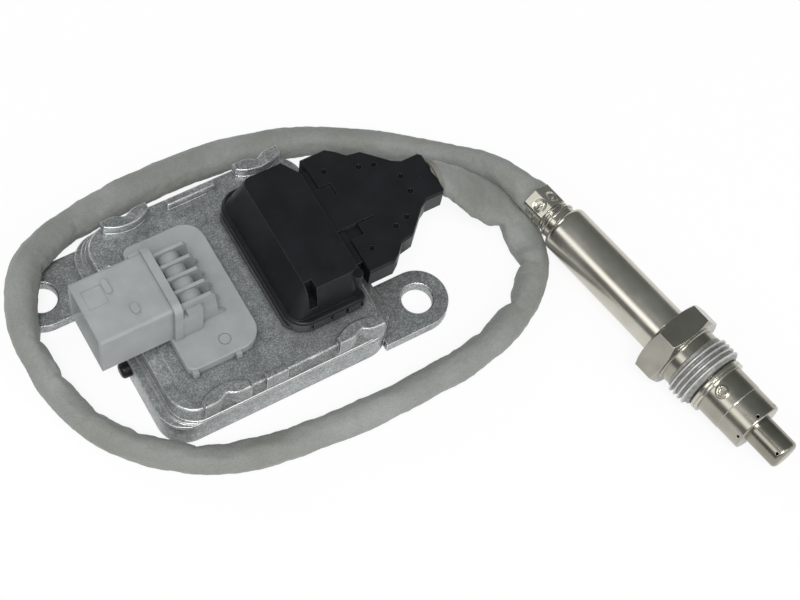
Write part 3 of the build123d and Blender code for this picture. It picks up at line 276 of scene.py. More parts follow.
cast_aluminium, tree, skin, where = new_material("cast_aluminium")
flow = cloud(tree, where, 150.0, 5.0)
mottle = cloud(tree, where, 2300.0, 2.0)
blotch = cloud(tree, where, 620.0, 3.0)
tone = ramp(tree, flow, (0.30, "#A4A6A7"), (0.70, "#BFC1C1"))
spots = ramp(tree, mottle, (0.36, "#606264"), (0.50, "#9A9D9F"), (0.64, "#F0F1F1"))
blotches = ramp(tree, blotch, (0.36, "#5A5C5C"), (0.62, "#D8D9D8"))
patchy = blend(tree, 0.20, tone, blotches, "OVERLAY")
speckled = blend(tree, 0.42, patchy, spots, "OVERLAY")
# Painted shade: the skin darkens towards #4E5150 in tight corners, found by ambient occlusion.
corner_shade = shade_in_corners(tree, 1.6 * MM, 0.35, 0.90, 0.75)
with_corner_shade = blend(tree, corner_shade, speckled, srgb("#4E5150"))
# Painted highlight: sharp edges, convex and concave, turn near white (#F2F3F1).
soft_edge, edge_highlight = soft_edges_and_highlight(tree, 0.32 * MM, 0.99, 0.92)
tree.links.new(blend(tree, edge_highlight, with_corner_shade, srgb("#F2F3F1")), skin.inputs["Base Color"])
skin.inputs["Metallic"].default_value = 0.90
rough = add(tree, "ShaderNodeMapRange", {"Value": edge_highlight, "To Min": 0.42, "To Max": 0.28})
tree.links.new(rough.outputs["Result"], skin.inputs["Roughness"])
waves = bump(tree, flow, 0.30, 0.4 * MM, soft_edge)
tree.links.new(bump(tree, mottle, 0.45, 0.13 * MM, waves), skin.inputs["Normal"])
dress(cast_aluminium, "housing_tray", "housing_cover")

# Seals, gaskets, grommets and the gap filler.
# Moulded nitrile and silicone rubber, and a soft pad under the board: dull, with a dusty bloom.
for name, code, members in (
    ("black_nitrile", "#1B1C1E", ("housing_seal", "supply_gasket", "sensor_gasket")),
    ("taupe_silicone", "#6E6C66", ("cable_grommet", "rear_grommet")),
    ("grey_gap_filler", "#8C98A4", ("thermal_pad",)),
):
    rubber, tree, skin, where = new_material(name)
    bloom = cloud(tree, where, 700.0)
    dusty = add(tree, "ShaderNodeMath", {0: bloom, 1: 0.22}, operation="MULTIPLY")
    tint = blend(tree, dusty.outputs[0], srgb(code), srgb("#A0A09A"))
    tree.links.new(tint, skin.inputs["Base Color"])
    skin.inputs["Roughness"].default_value = 0.7
    tree.links.new(bump(tree, bloom, 0.2, 0.1 * MM), skin.inputs["Normal"])
    dress(rubber, *members)

# Circuit board, what is on it, the contacts and the probe's inner pieces.
# Glass-fibre board under green solder mask with moulded packages and sleeved capacitors, tinned
# pins, insulated leads, fired ceramics and pressed talc. None of them shows from outside.
for name, low_code, high_code, metal, shine, members in (
    ("solder_mask", "#123F22", "#1D5A33", 0.0, 0.35, ("circuit_board",)),
    ("epoxy_package", "#161618", "#232325", 0.0, 0.5, ("processor", "driver_chips")),
    ("capacitor_sleeve", "#151B33", "#1E2748", 0.0, 0.3, ("storage_capacitors",)),
    (
        "tinned_bronze",
        "#A9A493",
        "#C9C4B2",
        1.0,
        0.3,
        ("supply_pins", "sensor_pins", "plug_contacts"),
    ),
    ("lead_insulation", "#8A8A84", "#9D9D97", 0.0, 0.45, ("plug_leads", "probe_leads")),
    (
        "fired_ceramic",
        "#D6D2C6",
        "#E4E0D5",
        0.0,
        0.55,
        ("rear_ceramic", "front_ceramic", "contact_clamp"),
    ),
    ("zirconia", "#C9C6BE", "#DAD7CF", 0.0, 0.35, ("sensing_element",)),
    ("pressed_talc", "#BDBDB6", "#D0D0CA", 0.0, 0.9, ("talc_ring",)),
):
    stuff, tree, skin, where = new_material(name)
    patches = cloud(tree, where, 800.0)
    tone = ramp(tree, patches, (0.3, low_code), (0.7, high_code))
    tree.links.new(tone, skin.inputs["Base Color"])
    skin.inputs["Metallic"].default_value = metal
    skin.inputs["Roughness"].default_value = shine
    tree.links.new(bump(tree, patches, 0.15, 0.1 * MM), skin.inputs["Normal"])
    dress(stuff, *members)

# Grey supply socket.
# Glass-filled nylon moulded in pale grey: an even, slightly chalky skin with softly broken edges,
# and the round mark of an ejector pin on the base plate.
ejector_mark = Vector((-10.3, -15.6, 17.4)) * MM
ejector_radius = 1.55 * MM
ejector_groove = 0.22 * MM
grey_nylon, tree, skin, where = new_material("grey_nylon")
patches = cloud(tree, where, 160.0, 5.0)
plain = ramp(tree, patches, (0.3, "#939797"), (0.7, "#9FA2A3"))
# Painted shade: the grey darkens towards #565A59 in tight corners and round the raised bumps.
corner_shade = shade_in_corners(tree, 1.2 * MM, 0.30, 0.85, 0.45)
tree.links.new(blend(tree, corner_shade, plain, srgb("#565A59")), skin.inputs["Base Color"])
skin.inputs["Roughness"].default_value = 0.48
skin.inputs["Specular IOR Level"].default_value = 0.4
erosion = cloud(tree, where, 2600.0, 3.0)
soft_edge = add(tree, "ShaderNodeBevel", {"Radius": 0.14 * MM}, samples=4).outputs["Normal"]
grit = bump(tree, erosion, 0.22, 0.08 * MM, soft_edge)
from_mark = add(
    tree, "ShaderNodeVectorMath", {0: where, 1: tuple(ejector_mark)}, operation="DISTANCE"
)
from_ring = add(
    tree,
    "ShaderNodeMath",
    {0: from_mark.outputs["Value"], 1: ejector_radius},
    operation="SUBTRACT",
)
near = add(tree, "ShaderNodeMath", {0: from_ring.outputs[0]}, operation="ABSOLUTE")
groove = add(
    tree,
    "ShaderNodeMapRange",
    {"Value": near.outputs[0], "From Min": 0.0, "From Max": ejector_groove},
)
marked = bump(tree, groove.outputs["Result"], 1.0, ejector_groove, grit)
tree.links.new(marked, skin.inputs["Normal"])
dress(grey_nylon, "supply_socket")

# Black sensor socket, cable plug and vent.
# The same nylon in black: satin, near black in the flats, with a painted grey highlight on its
# rounded edges and painted black shade in its holes and corners.
black_nylon, tree, skin, where = new_material("black_nylon")
patches = cloud(tree, where, 150.0, 5.0)
plain = ramp(tree, patches, (0.3, "#141618"), (0.7, "#1C1E21"))
# Painted highlight: sharp edges turn grey (#46484A).
soft_edge, edge_highlight = soft_edges_and_highlight(tree, 0.22 * MM, 0.99, 0.90, 0.8)
edge_highlighted = blend(tree, edge_highlight, plain, srgb("#46484A"))
# Painted shade: holes and tight corners go nearly black (#040405), found by ambient occlusion.
corner_shade = shade_in_corners(tree, 1.5 * MM, 0.35, 0.85, 1.0)
tree.links.new(blend(tree, corner_shade, edge_highlighted, srgb("#040405")), skin.inputs["Base Color"])
skin.inputs["Roughness"].default_value = 0.34
skin.inputs["Specular IOR Level"].default_value = 0.26
erosion = cloud(tree, where, 2400.0, 3.0)
tree.links.new(bump(tree, erosion, 0.28, 0.1 * MM, soft_edge), skin.inputs["Normal"])
dress(black_nylon, "sensor_socket", "plug_nose", "plug_cover", "plug_base", "vent_plug")

# Cable sleeve.
# A soft grey coated sleeve, loose over the leads, laid round the control unit in one loop. It
# flattens where it lies, and gathers into scallops on the inner side of its two tight bends.
route = [
    (61.6, -0.45, 21.75),
    (65.4, -1.3, 19.6),
    (69.6, -4.3, 15.4),
    (74.1, -8.0, 10.8),
    (78.1, -14.1, 6.9),
    (80.0, -20.9, 4.5),
    (79.4, -28.1, 4.1),
    (74.7, -34.5, 4.1),
    (67.2, -39.7, 4.1),
    (56.8, -43.9, 4.1),
    (43.0, -46.2, 4.1),
    (25.0, -46.7, 4.1),
    (6.5, -46.0, 4.1),
    (-9.9, -44.7, 4.1),
    (-25.2, -40.9, 4.1),
    (-36.3, -32.7, 4.1),
    (-46.0, -23.1, 4.1),
    (-51.4, -12.1, 4.2),
    (-53.1, 0.4, 5.3),
    (-54.0, 12.2, 8.3),
    (-51.2, 22.4, 9.1),
    (-45.9, 30.4, 8.3),
    (-38.2, 36.2, 5.4),
    (-25.2, 40.0, 4.1),
    (-6.9, 41.9, 4.1),
    (11.5, 41.6, 4.1),
    (28.4, 38.7, 4.1),
    (44.6, 32.9, 4.1),
    (59.7, 23.7, 4.1),
    (72.3, 13.8, 4.2),
    (81.2, 5.1, 6.6),
    (85.264, -4.489, 11.0),
    (87.030, -13.925, 11.0),
]
cable_line = bpy.data.curves.new("cable_line", "CURVE")
cable_line.dimensions = "3D"
cable_line.resolution_u = 24
spline = cable_line.splines.new("NURBS")
spline.points.add(len(route) - 1)
for point, place in zip(spline.points, route):
    point.co = (*[value * MM for value in place], 1.0)
spline.order_u = 3
spline.use_endpoint_u = True
line_object = bpy.data.objects.new("cable_line", cable_line)
bpy.context.collection.objects.link(line_object)
line = [vertex.co.copy() for vertex in bpy.data.meshes.new_from_object(line_object).vertices]
bpy.data.objects.remove(line_object)
reach = [0.0]
for before, after in zip(line, line[1:]):
    reach.append(reach[-1] + (after - before).length)
cable_length = reach[-1]

# Half widths of the sleeve as it lies, from the plug round to the probe: station, outer, inner.
lie = [
    (0.0, 4.6, 4.8),
    (3.0, 3.9, 5.8),
    (9.0, 4.6, 6.4),
    (15.0, 5.8, 6.9),
    (20.0, 6.3, 6.1),
    (27.0, 6.7, 4.6),
    (33.0, 6.3, 4.5),
    (36.5, 5.2, 4.5),
    (40.0, 4.3, 4.4),
    (50.0, 4.0, 4.6),
    (64.0, 4.1, 4.3),
    (88.0, 4.0, 4.2),
    (110.0, 4.4, 3.8),
    (138.0, 4.0, 4.6),
    (152.0, 3.5, 4.2),
    (166.0, 3.8, 4.1),
    (190.0, 3.5, 4.0),
    (202.0, 4.4, 3.6),
    (212.0, 4.3, 3.4),
    (230.0, 4.3, 4.9),
    (250.0, 5.0, 4.4),
    (288.0, 5.2, 4.9),
    (318.0, 4.7, 4.2),
    (338.0, 3.9, 4.0),
    (358.0, 3.4, 4.0),
    (370.0, 2.9, 4.4),
    (386.0, 2.8, 4.6),
    (391.0, 3.5, 4.6),
    (396.0, 5.2, 5.3),
    (398.0, 5.3, 5.3),
]
# Creases on the inner side, between the round lobes of the scallops: station, depth, half width.
creases = [
    (27.2, 2.6, 4.6),
    (41.8, 1.6, 4.4),
    (56.8, 2.2, 4.8),
    (71.0, 0.7, 4.0),
    (82.5, 0.3, 4.0),
    (99.5, 0.25, 3.0),
    (131.5, 0.25, 3.0),
    (157.5, 1.0, 4.5),
    (173.5, 0.9, 4.5),
    (187.5, 0.6, 3.5),
    (201.5, 1.2, 4.0),
    (213.5, 1.0, 3.5),
    (238.0, 0.8, 4.0),
    (255.0, 0.6, 4.0),
]


def eased(table, station, column):
    """The value of one column at a station, eased between the rows of the table."""
    for before, after in zip(table, table[1:]):
        if station <= after[0]:
            t = max(0.0, (station - before[0]) / (after[0] - before[0]))
            t = t * t * (3 - 2 * t)
            return before[column] + (after[column] - before[column]) * t
    return table[-1][column]


def drawn_in(station, across, rise):
    """How far the creases draw the skin in: deep on the inner side, fading over the top."""
    total = 0.0
    for place, depth, half_width in creases:
        away = abs(station - place - 1.4 * rise * (1 - abs(across))) / half_width
        if away < 1.0:
            side = max(0.0, across)
            fold = max(0.0, 1 - away * 1.8) ** 2 * 0.30 * max(0.0, 1 - abs(across - 0.25))
            total += depth * ((1 - away) ** 2 * side**1.5 + fold)
    return total


# A few rings run on past both ends of the route, over the grommet's collar and the ferrule.
ring_count = 1000
end_rings = 6
back_share = 0.35
front_share = 0.5
around = 60
round_half = 4.1
vertices = []
passed = 0
for ring in range(-end_rings, ring_count + end_rings + 1):
    beyond = ring * cable_length / ring_count / MM
    beyond = (
        min(0.0, beyond) * back_share + max(0.0, beyond - cable_length / MM) * front_share
    )
    station = cable_length * max(0, min(ring_count, ring)) / ring_count
    while passed < len(reach) - 2 and reach[passed + 1] < station:
        passed += 1
    share = (station - reach[passed]) / (reach[passed + 1] - reach[passed])
    middle = line[passed].lerp(line[passed + 1], share)
    low = max(passed - 3, 0)
    high = min(passed + 4, len(line) - 1)
    forward = Vector((1, 0, 0)) if ring <= 0 else (line[high] - line[low]).normalized()
    sideways = forward.cross(Vector((0, 0, 1))).normalized()
    overhead = sideways.cross(forward)
    s = station / MM
    outer = eased(lie, s, 1)
    inner = eased(lie, s, 2)
    end_ease = min(1.0, s / 3.0, (cable_length / MM - s) / 4.0)
    mean = (outer + inner) / 2
    flat = round_half - max(0.0, mean - round_half) * 0.9
    on_table = max(0.0, min(1.0, (5.0 - middle.z / MM) / 0.6))
    sink = (round_half - flat) * on_table
    for step in range(around):
        angle = 2 * math.pi * step / around
        across = math.cos(angle)
        rise = math.sin(angle)
        half = outer if across < 0 else inner
        ripple = noise.noise(Vector((s * 0.13, across * 1.6, rise * 1.6 + 4.0))) * 0.36
        ripple += noise.noise(Vector((s * 0.42, across * 2.6 + 9.0, rise * 2.6))) * 0.20
        ripple += noise.noise(Vector((s * 1.2, across * 1.2, rise * 1.2 + 7.0))) * 0.07
        crease = drawn_in(s, across, rise)
        ripple *= end_ease
        offset = sideways * (across * (half + ripple - crease * abs(across)))
        offset += overhead * (rise * (flat + ripple * 0.7 - crease * 0.5 * abs(rise)))
        place = middle + (offset + forward * beyond) * MM
        place.z = max(place.z - sink * MM, 0.0)
        vertices.append(place)
last_ring = ring_count + 2 * end_rings
faces = [
    (
        r * around + a,
        r * around + (a + 1) % around,
        (r + 1) * around + (a + 1) % around,
        (r + 1) * around + a,
    )
    for r in range(last_ring)
    for a in range(around)
]
faces.append(tuple(range(around))[::-1])
faces.append(tuple(last_ring * around + a for a in range(around)))
sleeve_mesh = bpy.data.meshes.new("wrinkled_sleeve")
sleeve_mesh.from_pydata(vertices, [], faces)
sleeve_mesh.shade_smooth()


def face_outward(mesh):
    """Welds the poles of a closed mesh and turns its faces outwards."""
    work = bmesh.new()
    work.from_mesh(mesh)
    bmesh.ops.remove_doubles(work, verts=work.verts, dist=0.0001 * MM)
    bmesh.ops.recalc_face_normals(work, faces=work.faces)
    work.to_mesh(mesh)
    work.free()


face_outward(sleeve_mesh)
cable_sleeve = bpy.data.objects.new("wrinkled_sleeve", sleeve_mesh)
bpy.context.collection.objects.link(cable_sleeve)

# Silicone-coated glass braid: a dull mid grey with a soft sheen, a fine tight weave under the
# coating, and faint paler and browner patches where it was handled.
coated_braid, tree, skin, where = new_material("coated_braid")
patches = cloud(tree, where, 55.0)
grain = cloud(tree, where, 2300.0, 3.0)
tone = ramp(tree, patches, (0.32, "#80827C"), (0.55, "#898B88"), (0.72, "#949694"))
woven = ramp(tree, grain, (0.3, "#505050"), (0.7, "#E0E0E0"))
tree.links.new(blend(tree, 0.16, tone, woven, "OVERLAY"), skin.inputs["Base Color"])
weave = bump(tree, grain, 0.30, 0.12 * MM)
swell = cloud(tree, where, 360.0, 3.0)
tree.links.new(bump(tree, swell, 0.45, 0.5 * MM, weave), skin.inputs["Normal"])
skin.inputs["Roughness"].default_value = 0.60
skin.inputs["Specular IOR Level"].default_value = 0.35
skin.inputs["Sheen Weight"].default_value = 0.12
sleeve_mesh.materials.append(coated_braid)
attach(cable_sleeve, "sensor")
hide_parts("cable_sleeve")

# Probe shell: ferrule, sleeve, body and shields.
# Turned and drawn stainless steel, polished by handling: bright and smooth, with fine rings round
# the axis and a warm, slightly yellow tone.
probe_heading = math.radians(-79.4)
probe_origin = Vector((97.0, -67.2, 11.0)) * MM
probe_along = Vector((math.cos(probe_heading), math.sin(probe_heading), 0))
steels = {}
for name, low_code, high_code in (
    ("bright_stainless", "#BDB9AE", "#CFCCC2"),
    ("drawn_stainless", "#9C998F", "#AFACA1"),
    ("tip_stainless", "#8A877D", "#9B988D"),
):
    steel, tree, skin, where = new_material(name)
    aligned = add(
        tree,
        "ShaderNodeMapping",
        {
            "Vector": where,
            "Location": tuple(-(Matrix.Rotation(-probe_heading, 3, "Z") @ probe_origin)),
            "Rotation": (0, 0, -probe_heading),
        },
        vector_type="POINT",
    )
    stretched = add(
        tree, "ShaderNodeMapping", {"Vector": aligned.outputs[0], "Scale": (1.0, 0.05, 0.05)}
    )
    rings = cloud(tree, stretched.outputs[0], 2400.0, 3.0)
    stain = cloud(tree, where, 110.0, 5.0)
    tone = ramp(tree, stain, (0.3, low_code), (0.7, high_code))
    # Painted highlight: sharp edges turn near white (#F1EFE9).
    soft_edge, edge_highlight = soft_edges_and_highlight(tree, 0.18 * MM, 0.98, 0.85, 0.7, "Normal")
    tree.links.new(blend(tree, edge_highlight, tone, srgb("#F1EFE9")), skin.inputs["Base Color"])
    skin.inputs["Metallic"].default_value = 1.0
    rough = add(
        tree,
        "ShaderNodeMapRange",
        {"Value": stain, "From Min": 0.3, "From Max": 0.7, "To Min": 0.19, "To Max": 0.27},
    )
    tree.links.new(rough.outputs["Result"], skin.inputs["Roughness"])
    tree.links.new(bump(tree, rings, 0.05, 0.02 * MM, soft_edge), skin.inputs["Normal"])
    steels[name] = steel
dress(steels["bright_stainless"], "probe_sleeve", "probe_body")


def spoke(turn):
    """The direction out from the probe's axis, at a turn from upright to the left."""
    up = Vector((0, 0, 1))
    return up * math.cos(turn) + probe_along.cross(up) * math.sin(turn)


def lathe(name, levels, steps, shape=None):
    """A closed ring round the probe's axis, through levels of a station and a radius in mm.

    A shape may alter the radius, given the station, the turn and the radius.
    """
    points = []
    for t, radius in levels:
        for step in range(steps):
            turn = 2 * math.pi * step / steps
            r = shape(t, turn, radius) if shape else radius
            points.append(probe_origin + (probe_along * t + spoke(turn) * r) * MM)
    count = len(levels)
    quads = [
        (
            i * steps + a,
            i * steps + (a + 1) % steps,
            (i + 1) % count * steps + (a + 1) % steps,
            (i + 1) % count * steps + a,
        )
        for i in range(count)
        for a in range(steps)
    ]
    mesh = bpy.data.meshes.new(name)
    mesh.from_pydata(points, [], quads)
    face_outward(mesh)
    made = bpy.data.objects.new(name, mesh)
    bpy.context.collection.objects.link(made)
    return made


def smooth_but_edges(mesh, limit):
    """Smooth shading with sharp edges where the faces turn by more than the limit in degrees."""
    mesh.shade_smooth()
    mesh.set_sharp_from_angle(angle=math.radians(limit))


def off_side(turn, first):
    """How far a turn is from the middle of the nearest of six sides."""
    return (turn - first + math.pi / 6) % (math.pi / 3) - math.pi / 6


def eased_share(share):
    """A share between none and all, eased at both ends."""
    return 0.5 - 0.5 * math.cos(math.pi * min(1.0, max(0.0, share)))


def hexagon(apothem, turn, first):
    """Radius of a hexagon's side at a turn, where one side faces the first turn."""
    return apothem / math.cos(off_side(turn, first))


# Crimped ferrule.
# A drawn steel tube pressed on the sleeve with six flats, each with an oval dent and a short slit,
# and rolled down to a ringed neck that the probe's tube grips.
ferrule_start = -54.2
flats_end = -47.4
ferrule_bore = 4.0
ferrule_apothem = 4.65
ferrule_corner = 5.1
ferrule_turn = math.radians(34)
dent_station = -50.3
dent_depth = 0.55
dent_across = 2.05
dent_along = 1.75
slit_height = 0.42
neck_radius = 4.3
bead_radius = 4.95
rolled_radius = 5.6


def pressed(t, turn, radius):
    """Flats with a bowl in each, and a slit across the bowl."""
    if t > flats_end or radius < ferrule_apothem:
        return radius
    across = math.tan(off_side(turn, ferrule_turn)) * ferrule_apothem
    reached = math.hypot(across / dent_across, (t - dent_station) / dent_along)
    bowl = dent_depth * eased_share((1.08 - reached) / 0.42)
    off_slit = math.hypot(across / 1.45, (t - dent_station - 0.2) / 0.55)
    slit = slit_height * eased_share(1.15 - off_slit)
    side = hexagon(ferrule_apothem, turn, ferrule_turn)
    return min(side, ferrule_corner) - bowl + slit


levels = [(ferrule_start, ferrule_bore), (ferrule_start, ferrule_corner)]
levels += [(ferrule_start + 0.1 * i, ferrule_corner) for i in range(1, 68)]
for t, radius in (
    (0.00, neck_radius),
    (0.35, neck_radius),
    (0.40, bead_radius),
    (0.75, bead_radius),
    (0.80, neck_radius),
    (1.15, neck_radius),
    (1.20, bead_radius),
    (1.50, bead_radius),
    (1.55, neck_radius),
    (1.75, neck_radius),
    (1.80, rolled_radius - 0.15),
    (1.95, rolled_radius),
    (2.50, rolled_radius),
    (2.50, ferrule_bore),
):
    levels.append((flats_end + 0.01 + t, radius))
ferrule = lathe("pressed_ferrule", levels, 360, pressed)
smooth_but_edges(ferrule.data, 22)
ferrule.data.materials.append(steels["bright_stainless"])
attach(ferrule, "sensor")
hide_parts("crimp_ferrule")

# Union nut.
# Turned from hexagon bar: bright flats with faint turning marks on the end, a plain relief, and a
# cut thread with a dull, whitish coat of assembly paste.
flats = 22.0
hex_start = -1.0
hex_end = 6.1
hex_chamfer = 0.85
nut_recess = 7.5
relief_radius = 8.8
thread_start = 9.2
thread_end = 16.5
thread_crest = 9.9
thread_root = 8.95
thread_pitch = 1.5
nut_bore = 6.85
nut_turn = math.radians(2.5)


def sided(t, turn, radius):
    """Six flats with rounded-off ends on the nut's head, plain rings elsewhere."""
    head = hex_start <= t <= hex_end and radius > thread_crest
    return min(hexagon(flats / 2, turn, nut_turn), radius) if head else radius


corner_radius = flats / math.sqrt(3)
levels = [(0.0, nut_bore), (0.0, nut_recess), (hex_start, nut_recess)]
chamfer = [
    (hex_chamfer * i / 7, flats / 2 + 0.1 + (corner_radius - flats / 2) * i / 7) for i in range(8)
]
levels += [(hex_start + depth, radius) for depth, radius in chamfer]
levels.append(((hex_start + hex_end) / 2, corner_radius + 0.2))
levels += [(hex_end - depth, radius) for depth, radius in reversed(chamfer)]
levels += [
    (hex_end, relief_radius + 0.3),
    (hex_end + 0.3, relief_radius),
    (thread_start - 0.2, relief_radius),
    (thread_start, thread_root),
    (thread_end - 0.4, thread_root),
    (thread_end, thread_root - 0.5),
    (thread_end, nut_bore),
]
blank = lathe("threaded_nut", levels, 288, sided)

# The thread is one ridge swept along a spiral and laid on the nut's root. The ridge is given by
# heights in shares of the thread's depth, and half widths in shares of its pitch.
thread = bpy.data.node_groups.new("cut_thread", "GeometryNodeTree")
thread.interface.new_socket("Blank", in_out="INPUT", socket_type="NodeSocketGeometry")
for name in ("Root", "Crest", "Pitch", "Length"):
    thread.interface.new_socket(name, in_out="INPUT", socket_type="NodeSocketFloat")
thread.interface.new_socket("Place", in_out="INPUT", socket_type="NodeSocketVector")
thread.interface.new_socket("Turn", in_out="INPUT", socket_type="NodeSocketVector")
thread.interface.new_socket("Finish", in_out="INPUT", socket_type="NodeSocketMaterial")
thread.interface.new_socket("Nut", in_out="OUTPUT", socket_type="NodeSocketGeometry")
given = thread.nodes.new("NodeGroupInput").outputs
turns = add(thread, "ShaderNodeMath", {0: given["Length"], 1: given["Pitch"]}, operation="DIVIDE")
spiral = add(
    thread,
    "GeometryNodeCurveSpiral",
    {
        "Resolution": 120,
        "Rotations": turns.outputs[0],
        "Start Radius": given["Root"],
        "End Radius": given["Root"],
        "Height": given["Length"],
    },
)
upright_curve = add(
    thread, "GeometryNodeSetCurveNormal", {"Curve": spiral.outputs[0]}, mode="Z_UP"
)
rise_out = add(
    thread, "ShaderNodeMath", {0: given["Root"], 1: given["Crest"]}, operation="SUBTRACT"
)
ridge = add(thread, "GeometryNodeCurvePrimitiveQuadrilateral", mode="POINTS")
ridge_corners = ((1.0, 0.07), (1.0, -0.07), (-0.1, -0.42), (-0.1, 0.42))
for index, (height, half) in enumerate(ridge_corners):
    out = add(thread, "ShaderNodeMath", {0: rise_out.outputs[0], 1: height}, operation="MULTIPLY")
    wide = add(thread, "ShaderNodeMath", {0: given["Pitch"], 1: half}, operation="MULTIPLY")
    corner = add(thread, "ShaderNodeCombineXYZ", {"X": out.outputs[0], "Y": wide.outputs[0]})
    thread.links.new(corner.outputs[0], ridge.inputs[f"Point {index + 1}"])
swept = add(
    thread,
    "GeometryNodeCurveToMesh",
    {"Curve": upright_curve.outputs[0], "Profile Curve": ridge.outputs[0], "Fill Caps": True},
)
placed = add(
    thread,
    "GeometryNodeTransform",
    {"Geometry": swept.outputs[0], "Translation": given["Place"], "Rotation": given["Turn"]},
)
joined = add(thread, "GeometryNodeJoinGeometry")
thread.links.new(placed.outputs[0], joined.inputs[0])
thread.links.new(given["Blank"], joined.inputs[0])
real = add(thread, "GeometryNodeRealizeInstances", {"Geometry": joined.outputs[0]})
coated = add(
    thread, "GeometryNodeSetMaterial", {"Geometry": real.outputs[0], "Material": given["Finish"]}
)
result = thread.nodes.new("NodeGroupOutput")
thread.links.new(coated.outputs[0], result.inputs[0])

nut_steel, tree, skin, where = new_material("nut_steel")
from_origin = add(
    tree, "ShaderNodeVectorMath", {0: where, 1: tuple(probe_origin)}, operation="SUBTRACT"
)
station = add(
    tree,
    "ShaderNodeVectorMath",
    {0: from_origin.outputs[0], 1: tuple(probe_along)},
    operation="DOT_PRODUCT",
)
on_thread = add(
    tree,
    "ShaderNodeMapRange",
    {
        "Value": station.outputs["Value"],
        "From Min": (thread_start - 0.1) * MM,
        "From Max": (thread_start + 0.2) * MM,
    },
)
stain = cloud(tree, where, 160.0, 5.0)
paste = cloud(tree, where, 900.0, 4.0)
steel_tone = ramp(tree, stain, (0.3, "#97948A"), (0.7, "#AAA79D"))
off_axis = add(
    tree,
    "ShaderNodeVectorMath",
    {0: from_origin.outputs[0], 1: tuple(probe_along)},
    operation="CROSS_PRODUCT",
)
radius = add(tree, "ShaderNodeVectorMath", {0: off_axis.outputs[0]}, operation="LENGTH")
height = add(
    tree,
    "ShaderNodeMapRange",
    {
        "Value": radius.outputs["Value"],
        "From Min": thread_root * MM,
        "From Max": thread_crest * MM,
    },
)
# The coat is darker towards the thread's roots and lighter towards its crests.
by_height = ramp(
    tree, height.outputs["Result"], (0.05, "#9B9B99"), (0.50, "#B9B9B7"), (0.95, "#DDDDDA")
)
clouded = ramp(tree, paste, (0.3, "#6A6A6A"), (0.7, "#C8C8C8"))
paste_tone = blend(tree, 0.5, by_height, clouded, "OVERLAY")
coat = blend(tree, on_thread.outputs["Result"], steel_tone, paste_tone)
for name, on_steel, on_paste in (("Metallic", 1.0, 0.55), ("Roughness", 0.22, 0.42)):
    limits = {"To Min": on_steel, "To Max": on_paste}
    value = add(tree, "ShaderNodeMapRange", {"Value": on_thread.outputs["Result"], **limits})
    tree.links.new(value.outputs["Result"], skin.inputs[name])
soft_edge, edge_highlight = soft_edges_and_highlight(tree, 0.15 * MM, 0.98, 0.88, 0.8)
tree.links.new(bump(tree, paste, 0.10, 0.06 * MM, soft_edge), skin.inputs["Normal"])
# Painted highlight: the bare steel's sharp edges turn near white (#F4F2EC); the thread is left out.
bare = add(tree, "ShaderNodeMath", {0: 1.0, 1: on_thread.outputs["Result"]}, operation="SUBTRACT")
edge = add(tree, "ShaderNodeMath", {0: edge_highlight, 1: bare.outputs[0]}, operation="MULTIPLY")
tree.links.new(blend(tree, edge.outputs[0], coat, srgb("#F4F2EC")), skin.inputs["Base Color"])

modifier = blank.modifiers.new("cut_thread", "NODES")
modifier.node_group = thread
sockets = {
    item.name: item.identifier
    for item in thread.interface.items_tree
    if item.in_out == "INPUT"
}
modifier[sockets["Root"]] = thread_root * MM
modifier[sockets["Crest"]] = thread_crest * MM
modifier[sockets["Pitch"]] = thread_pitch * MM
modifier[sockets["Length"]] = (thread_end - thread_start - 1.1) * MM
modifier[sockets["Place"]] = tuple(probe_origin + probe_along * (thread_start + 0.5) * MM)
modifier[sockets["Turn"]] = tuple(Vector((0, 0, 1)).rotation_difference(probe_along).to_euler())
modifier[sockets["Finish"]] = nut_steel
blank.update_tag()
graph = bpy.context.evaluated_depsgraph_get()
graph.update()
nut_mesh = bpy.data.meshes.new_from_object(blank.evaluated_get(graph))
nut_mesh.name = "threaded_nut"
bpy.data.objects.remove(blank)
nut_mesh.shade_flat()
threaded_nut = bpy.data.objects.new("threaded_nut", nut_mesh)
bpy.context.collection.objects.link(threaded_nut)
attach(threaded_nut, "nut")
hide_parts("union_nut")

# Outer and inner shields.
# Two deep-drawn steel caps over the ceramic tip, duller than the turned parts. The outer has three
# embossed rings and a step; both have small round gas holes, and the inner cap reaches through it.
shield_start = 19.0
shield_end = 33.7
shield_radius = 7.67
shield_step = 26.15
narrow_radius = 7.55
shield_wall = 0.5
inner_start = 20.0
inner_end = 44.2
inner_radius = 4.38
inner_wall = 0.4
inner_round = 1.2
ring_turns = [math.radians(28 + 120 * i) for i in range(3)]
ring_station = 21.5
ring_radius = 1.36
ring_height = 0.22
dimple_depth = 0.34
gas_hole_radius = 0.45


def embossed(t, turn, radius):
    """Raised rings with a sunk middle near the cap's open end."""
    if radius < narrow_radius - 0.05 or t > shield_step - 1.0:
        return radius
    change = 0.0
    for middle in ring_turns:
        away = (turn - middle + math.pi) % (2 * math.pi) - math.pi
        far = math.hypot(away * radius, t - ring_station)
        change += ring_height * math.exp(-(((far - ring_radius) / 0.30) ** 2))
        change -= dimple_depth * eased_share((1.20 - far) / 0.45)
    return radius + change


def rounded(end, radius, size):
    """Levels round the outer corner at a cap's end."""
    angles = [math.radians(15 * i) for i in range(1, 7)]
    return [(end - size * (1 - math.sin(a)), radius - size * (1 - math.cos(a))) for a in angles]


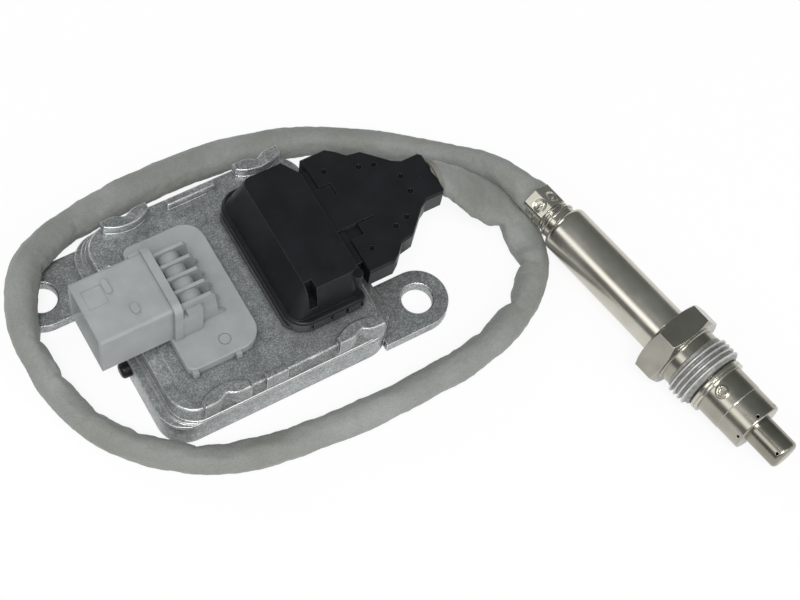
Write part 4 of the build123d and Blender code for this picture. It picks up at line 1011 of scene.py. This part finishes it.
def pierced(blank, hole_station, first_turn, hole_count, reach):
    """Cuts round holes in a cap, evenly round it."""
    work = bmesh.new()
    for i in range(hole_count):
        out = spoke(first_turn + i * 2 * math.pi / hole_count)
        middle = probe_origin + (probe_along * hole_station + out * reach) * MM
        turn_out = Vector((0, 0, 1)).rotation_difference(out).to_matrix().to_4x4()
        bmesh.ops.create_cone(
            work,
            cap_ends=True,
            segments=28,
            radius1=gas_hole_radius * MM,
            radius2=gas_hole_radius * MM,
            depth=2.4 * MM,
            matrix=Matrix.Translation(middle) @ turn_out,
        )
    cutters_mesh = bpy.data.meshes.new("gas_hole_cutters")
    work.to_mesh(cutters_mesh)
    work.free()
    cutters = bpy.data.objects.new("gas_hole_cutters", cutters_mesh)
    bpy.context.collection.objects.link(cutters)
    cut = blank.modifiers.new("gas_holes", "BOOLEAN")
    cut.operation = "DIFFERENCE"
    cut.solver = "EXACT"
    cut.object = cutters
    graph = bpy.context.evaluated_depsgraph_get()
    graph.update()
    mesh = bpy.data.meshes.new_from_object(blank.evaluated_get(graph))
    blank.modifiers.clear()
    blank.data = mesh
    bpy.data.objects.remove(cutters)
    smooth_but_edges(mesh, 35)


inside = shield_radius - shield_wall
narrow_inside = narrow_radius - shield_wall
front_wall = shield_end - shield_wall
levels = [(shield_start, inside), (shield_start, shield_radius)]
levels += [(shield_start + 0.6 + 0.12 * i, shield_radius) for i in range(34)]
levels += [(shield_step, shield_radius), (shield_step + 0.17, narrow_radius - 0.01)]
levels += [(front_wall - 1.4 + 0.1 * i, narrow_radius) for i in range(15)]
levels += rounded(shield_end, narrow_radius, shield_wall)
levels += [(shield_end, inner_radius), (front_wall, inner_radius), (front_wall, narrow_inside)]
levels += [(shield_step + 0.05, narrow_inside), (shield_step + 0.05, inside)]
outer = lathe("outer_shield_cap", levels, 384, embossed)
outer.data.materials.append(steels["drawn_stainless"])
pierced(outer, 32.5, math.radians(11), 6, 7.3)
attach(outer, "sensor")
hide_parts("outer_shield")

inner_inside = inner_radius - inner_wall
levels = [(inner_start, inner_inside), (inner_start, 5.2)]
levels += [(inner_start + 0.8, 5.2), (inner_start + 0.8, inner_radius)]
levels += [(inner_end - inner_round - 1.3 + 0.1 * i, inner_radius) for i in range(14)]
levels += rounded(inner_end, inner_radius, inner_round)
levels += [(inner_end, 0.0), (inner_end - inner_wall, 0.0), (inner_end - inner_wall, 3.1)]
levels += [(inner_end - 0.7, 3.6), (inner_end - inner_round, inner_inside)]
inner = lathe("inner_shield_cap", levels, 192)
inner.data.materials.append(steels["tip_stainless"])
pierced(inner, 42.5, math.radians(41), 3, 4.2)
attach(inner, "sensor")
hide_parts("inner_shield")
